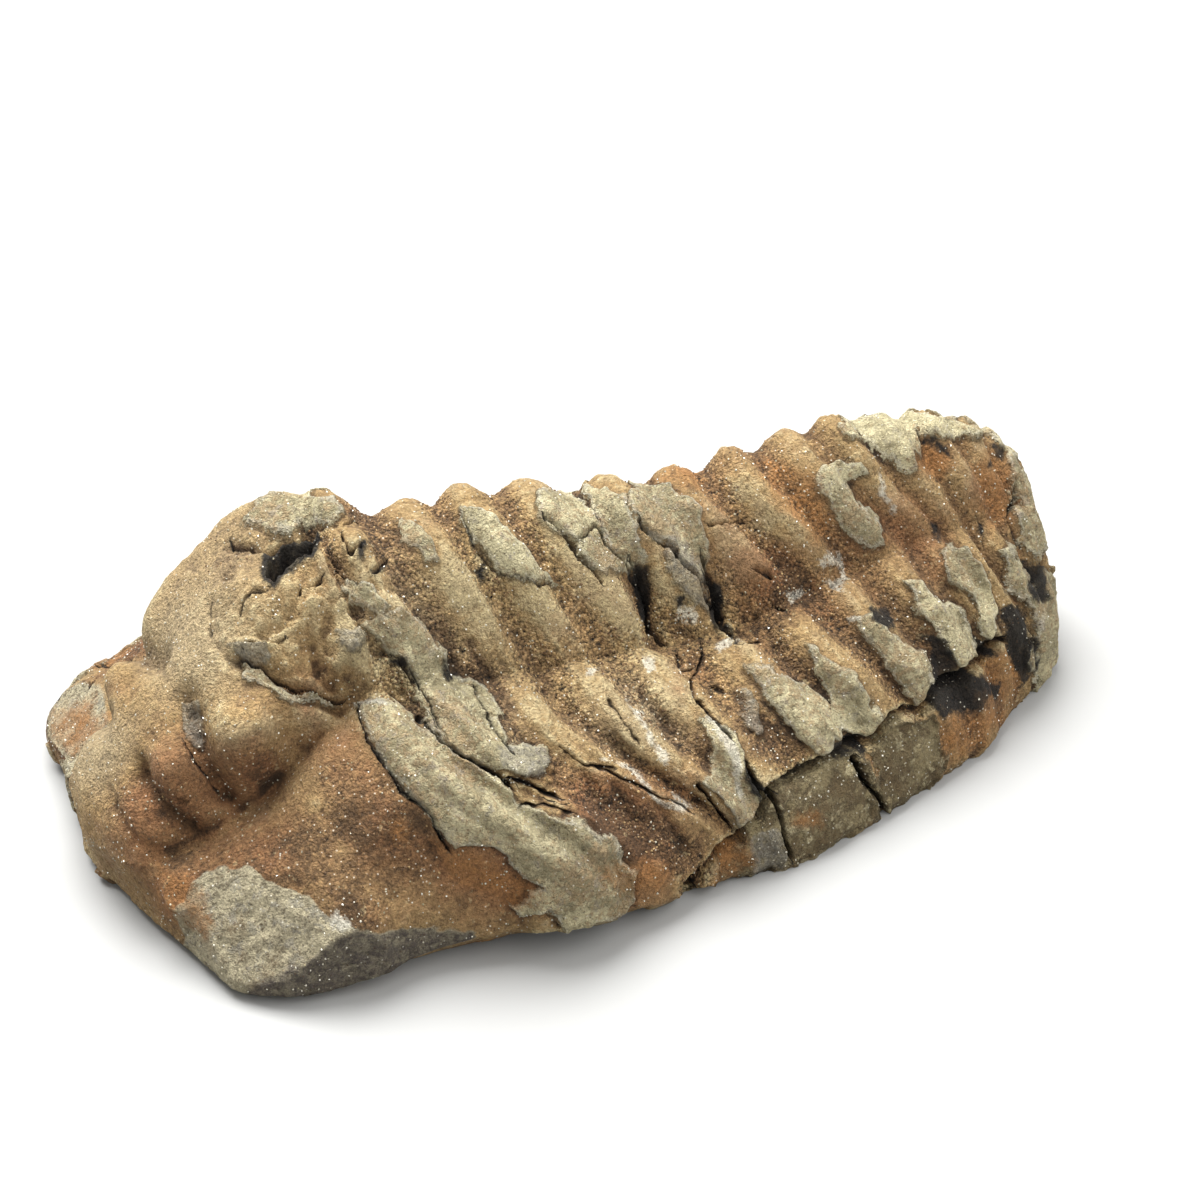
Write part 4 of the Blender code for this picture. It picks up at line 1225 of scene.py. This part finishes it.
def stone_finish():
    stone = Finish("weathered_stone")
    blend, number = stone.blend, stone.number
    dust = stone.noise(0.11, 2.0, 0.7, shift=3.0) - 0.5
    fine = stone.noise(0.22, 3.0, 0.7) - 0.5
    grain = stone.noise(0.55, 4.0, 0.7, shift=9.0) - 0.5
    blotch = stone.noise(2.2, 5.0, 0.7, shift=21.0) - 0.5
    broad = stone.noise(7.0, 3.0, 0.6, shift=33.0) - 0.5
    ragged = (stone.noise(0.35, 3.0, 0.7, shift=41.0) - 0.5) * 8.0 + grain * 6.0
    tone_and_painted_light, furrow = number("tone_and_painted_light"), number("furrow")
    hollow_small, hollow_large = number("hollow_small"), number("hollow_large")

    # The mould: brown, tan where it is worn, red in patches, with pale and dark flecks.  Tones
    # and the hollow numbers also paint light and shade into it: painted shade in furrows and
    # hollows, a painted highlight on edges.
    wear_and_painted_light = (tone_and_painted_light * 0.62 + blotch * 1.9 + broad * 0.8 + grain * 1.3 + 0.72 - furrow * 0.42
            - hollow_large * 0.34 - hollow_small * 1.6)
    colour = blend(wear_and_painted_light.rises(0.0, 0.75), BROWN, TAN)
    colour = blend(wear_and_painted_light.rises(0.65, 1.45), colour, PALE)
    patchy = stone.noise(1.3, 4.0, 0.7, shift=57.0)
    redness = (broad * 2.0 + blotch * 2.0 + number("red") * 0.85).kept()
    colour = blend(redness * 0.75, colour, RED_BROWN)
    colour = blend((0.0 - number("red")).kept() * 0.45, colour, WASHED)
    colour = blend((0.22 - wear_and_painted_light).rises(0.0, 0.60) * 0.8, colour, DARK_BROWN)
    colour = blend((patchy + grain * 0.3).rises(0.63, 0.70) * 0.45, colour, PALE)
    colour = blend((0.38 - patchy + grain * 0.3).rises(0.0, 0.07) * 0.5, colour, DARK_BROWN)

    # Plates of shell, with a pale rim that is a painted highlight and a dark line under their edge that is
    # a painted shadow.
    shell_edge = number("shell") + ragged - patchy.rises(0.62, 0.72) * 9.0
    shell_share = shell_edge.rises(-0.8, 0.8)
    mottle = blotch * 2.2 + grain * 1.6 + fine * 0.7 + broad * 0.8 - tone_and_painted_light * 0.15 + 0.40
    shell = blend(mottle.rises(0.0, 0.75), SHELL_PALE, SHELL_GREY)
    stained = (broad * 2.0 + grain * 2.4 - blotch * 1.6 + 0.28).rises(0.1, 0.7)
    shell = blend(stained * 0.85, shell, SHELL_BROWN)
    shell = blend((0.47 - patchy).rises(0.0, 0.10) * (0.35 + grain * 2.0).kept(), shell, BLUE_GREY)
    colour = blend(shell_share * 0.92, colour, shell)
    # Painted highlight just inside the plate's edge; painted shadow just outside it.
    rim = (1 - (shell_edge - 2.0).size() / 2.2).kept() * (0.5 + blotch * 3.0).kept()
    colour = blend(rim * 0.55, colour, CHALK_AND_HIGHLIGHT)
    under = (1 - (shell_edge + 1.6).size() / 1.6).kept() * (0.55 - broad * 2.5 + blotch * 2.0).kept()
    colour = blend(under * 0.75, colour, STAIN_AND_SHADE_BLACK)

    # Olive slabs and blue-grey patches.
    olive_share = (number("olive") + ragged).rises(-0.8, 0.8)
    olive = blend((grain * 1.6 + blotch * 2.4 + broad + 0.5).rises(0.2, 0.8), OLIVE_GREY, OLIVE_DARK)
    olive = blend((patchy + grain * 0.4).rises(0.55, 0.68) * 0.5, olive, SHELL_PALE)
    colour = blend(olive_share * 0.9, colour, olive)
    grey_share = (number("grey") + ragged).rises(-2.5, 2.5)
    colour = blend(grey_share * (0.55 + grain * 1.5).kept(), colour, BLUE_GREY)

    # Broken rock, with painted shade on the side that faces away from the light.
    fresh_share = (number("fresh") + ragged * 0.4).rises(-1.5, 1.5).most(number("bed") * 0.8)
    rock = blend((grain * 2.2 + blotch * 1.4 + fine * 1.4 + 0.35).rises(0.15, 0.85), ROCK_LIGHT, ROCK_DARK)
    rock = blend((broad * 3.0 + blotch * 2.0 - 0.1).rises(0.0, 0.8) * 0.5, rock, BROWN)
    rock = blend((0.48 - patchy).rises(0.0, 0.10) * 0.5, rock, BLUE_GREY)
    rock = blend(number("shaded_side") * (0.80 + grain * 1.6 + fine).kept(), rock, ROCK_SIDE_SHADE)
    colour = blend(fresh_share, colour, rock)

    # Stains: rust, black and white.  Some black patches are painted shade in gaps, under plates
    # and in the hole, and some white ones are painted highlights.
    rust_share = (number("orange") + ragged * 1.6).rises(-9.0, 7.0) * (0.70 + blotch * 1.8).kept()
    colour = blend(rust_share * 0.9, colour, RUST)
    black_stain_and_shade_share = (number("black_stain_and_shade") + ragged).rises(-3.0, 2.5) * (1.0 + blotch).kept()
    colour = blend((black_stain_and_shade_share * 0.98).kept(), colour, STAIN_AND_SHADE_BLACK)
    white_mark_and_highlight_share = (number("white_mark_and_highlight") + ragged * 1.3).rises(-2.5, 2.5)
    colour = blend(white_mark_and_highlight_share * 0.7, colour, CHALK_AND_HIGHLIGHT)

    # Single grains: a few get a painted glint, a few are dark, and all of them vary a little;
    # each is painted darker away from its middle, as shade between grains.
    speck = stone.node("ShaderNodeSeparateColor", None, {0: stone.cells(0.26, "Color")}).outputs[0]
    speck = Value(stone, speck)
    near_middle = Value(stone, stone.cells(0.26))
    glint = speck.rises(0.93, 0.95) * (1 - near_middle.rises(0.20, 0.32))
    colour = blend(glint * 0.6, colour, CHALK_AND_HIGHLIGHT)
    dark_speck = (1 - speck).rises(0.86, 0.92) * (1 - near_middle.rises(0.22, 0.40))
    colour = blend(dark_speck * 0.6, colour, DARK_BROWN)
    sandy = number("sandy")
    mould = (1 - shell_share.most(olive_share).most(fresh_share) * 0.6) * (0.25 + sandy * 0.75)
    grit_and_grain_shade = (speck - 0.5) * 0.9 - near_middle * 0.9 + 0.45
    shade = 1.0 + (fine * 1.3 + dust * 1.2) * (0.8 + sandy * 0.6) + grain * 0.9 + grit_and_grain_shade * mould * 1.2
    grey_shade = stone.node("ShaderNodeCombineColor", None, {0: shade, 1: shade, 2: shade}).outputs[0]
    colour = blend(1.0, colour, grey_shade, "MULTIPLY")

    # Painted shade in the cracks and hollows.
    crack_line = 1 - (number("crack_side").size() - number("crack_width")
                      + ragged * 0.25).rises(-1.0, 1.2)
    crack_line = crack_line * (1 - number("crack").rises(3.5, 6.0)) * (1 - fresh_share)
    crack_and_hollow_shade = (hollow_small.rises(0.08, 0.35) * 0.45).most(crack_line * 0.92)
    colour = blend(crack_and_hollow_shade.kept(), colour, STAIN_AND_SHADE_BLACK)

    # The relief that is too fine for the mesh.
    edge_step = shell_share.most(olive_share).most(grey_share)
    flakes = ((blotch + broad * 0.8 + grain * 0.35).rises(0.03, 0.06)
              + (patchy + grain * 0.3).rises(0.52, 0.55))
    lie = (dust * 0.45 + fine * 1.35 + grain * 1.4 - near_middle * (0.25 + mould)
           + edge_step * (0.8 + flakes * 0.75) + fresh_share * flakes * 0.8 - crack_line * 1.3)
    bump = stone.node("ShaderNodeBump", None, {"Strength": 1.0, "Distance": 0.34 * MM, "Height": lie})
    stone.feed(Base_Color=colour, Roughness=(0.92 - glint * 0.45), Normal=bump.outputs[0])
    stone.shader.inputs["Specular IOR Level"].default_value = 0.3
    return stone.material


cast.data.materials.clear()
cast.data.materials.append(stone_finish())
print("stone finish:", len(cast.data.materials[0].node_tree.nodes), "nodes")


def sand_finish():
    sand = Finish("loose_sand")
    shade = sand.number("shade")
    colour = sand.blend(shade.rises(0.0, 0.9), DARK_BROWN, BROWN)
    colour = sand.blend(shade.rises(0.86, 0.98), colour, TAN)
    sand.feed(Base_Color=colour, Roughness=0.9)
    return sand.material


def crystal_finish():
    crystal = Finish("clear_crystals")
    colour = crystal.blend(crystal.number("shade"), SHELL_GREY, CHALK_AND_HIGHLIGHT)
    crystal.feed(Base_Color=colour, Roughness=0.22)
    crystal.shader.inputs["Specular IOR Level"].default_value = 0.9
    return crystal.material


grain_shape = small_shape("grain", bmesh.ops.create_icosphere, subdivisions=1, radius=1.0)
block_shape = small_shape("block", bmesh.ops.create_cube, size=1.0)
sand = scatter("sand", "grains", grain_shape, SAND_PER_MM2, SAND_SIZES, 4, sand_finish())
crystals = scatter("crystals", "glints", block_shape, GLINT_PER_MM2, GLINT_SIZES, 7, crystal_finish())
for stamp in (grain_shape, block_shape):
    bpy.data.objects.remove(stamp, do_unlink=True)

# %% [markdown]
# ## Floor and light
#
# The fossil lies on a plain floor.  Its own colour is a middle grey, which the lights bring
# up to white, so that it throws less light back into the shadow under the rim than a white
# floor would.  One large soft light stands behind the fossil to the left, so the tops are
# pale and a soft shadow falls forwards to the right.  A weak one in front to the right opens
# up the near flank, and the floor and a pale sky fill the shade from all round.

# %% Floor, sky and lights
FLOOR_SIZE, FLOOR_COLOUR = 4.0, (0.300, 0.300, 0.294)
KEY_PLACE, KEY_AIM = Vector((-0.06, 0.27, 0.58)), Vector((0.0, 0.0, 0.01))
KEY_SIZE, KEY_POWER = 0.60, 14.6
SKY_HORIZON, SKY_ZENITH = 0.28, 1.1
FILL_PLACE, FILL_SIZE, FILL_POWER = Vector((0.22, -0.30, 0.34)), 0.60, 2.5


def floor_finish():
    plain = Finish("plain_floor")
    plain.feed(Base_Color=FLOOR_COLOUR, Roughness=0.95)
    return plain.material


floor_mesh = bpy.data.meshes.new("floor")
half = FLOOR_SIZE / 2
floor_mesh.from_pydata([(-half, -half, 0), (half, -half, 0), (half, half, 0), (-half, half, 0)], [],
                       [(0, 1, 2, 3)])
floor_mesh.materials.append(floor_finish())
floor = bpy.data.objects.new("floor", floor_mesh)
bpy.context.scene.collection.objects.link(floor)

for name, place, size, power in (("key", KEY_PLACE, KEY_SIZE, KEY_POWER),
                                 ("fill", FILL_PLACE, FILL_SIZE, FILL_POWER)):
    lamp_data = bpy.data.lights.new(name, "AREA")
    lamp_data.shape, lamp_data.size, lamp_data.energy = "DISK", size, power
    lamp = bpy.data.objects.new(name, lamp_data)
    lamp.location = place
    lamp.rotation_euler = (KEY_AIM - place).to_track_quat("-Z", "Y").to_euler()
    bpy.context.scene.collection.objects.link(lamp)

sky = bpy.data.worlds.new("sky")
sky.use_nodes = True
tree = sky.node_tree
way = tree.nodes.new("ShaderNodeSeparateXYZ")
tree.links.new(tree.nodes.new("ShaderNodeTexCoord").outputs["Generated"], way.inputs[0])
fade = tree.nodes.new("ShaderNodeMapRange")
fade.inputs["To Min"].default_value, fade.inputs["To Max"].default_value = SKY_HORIZON, SKY_ZENITH
tree.links.new(way.outputs["Z"], fade.inputs["Value"])
tree.links.new(fade.outputs["Result"], tree.nodes["Background"].inputs["Strength"])
tree.nodes["Background"].inputs["Color"].default_value = (1.0, 0.99, 0.97, 1.0)
bpy.context.scene.world = sky
bpy.context.scene.view_settings.view_transform = "Standard"

# %% [markdown]
# ## Hand over
#
# The cast stands for the plain solid and rides on the one body there is, and so do the
# sand and the crystals.  The boxes of the solid and of the dressed model are written down, so
# that they can be compared.

# %% Finish
for piece in (cast, sand, crystals):
    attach(piece, BODY)
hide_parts(NODE)
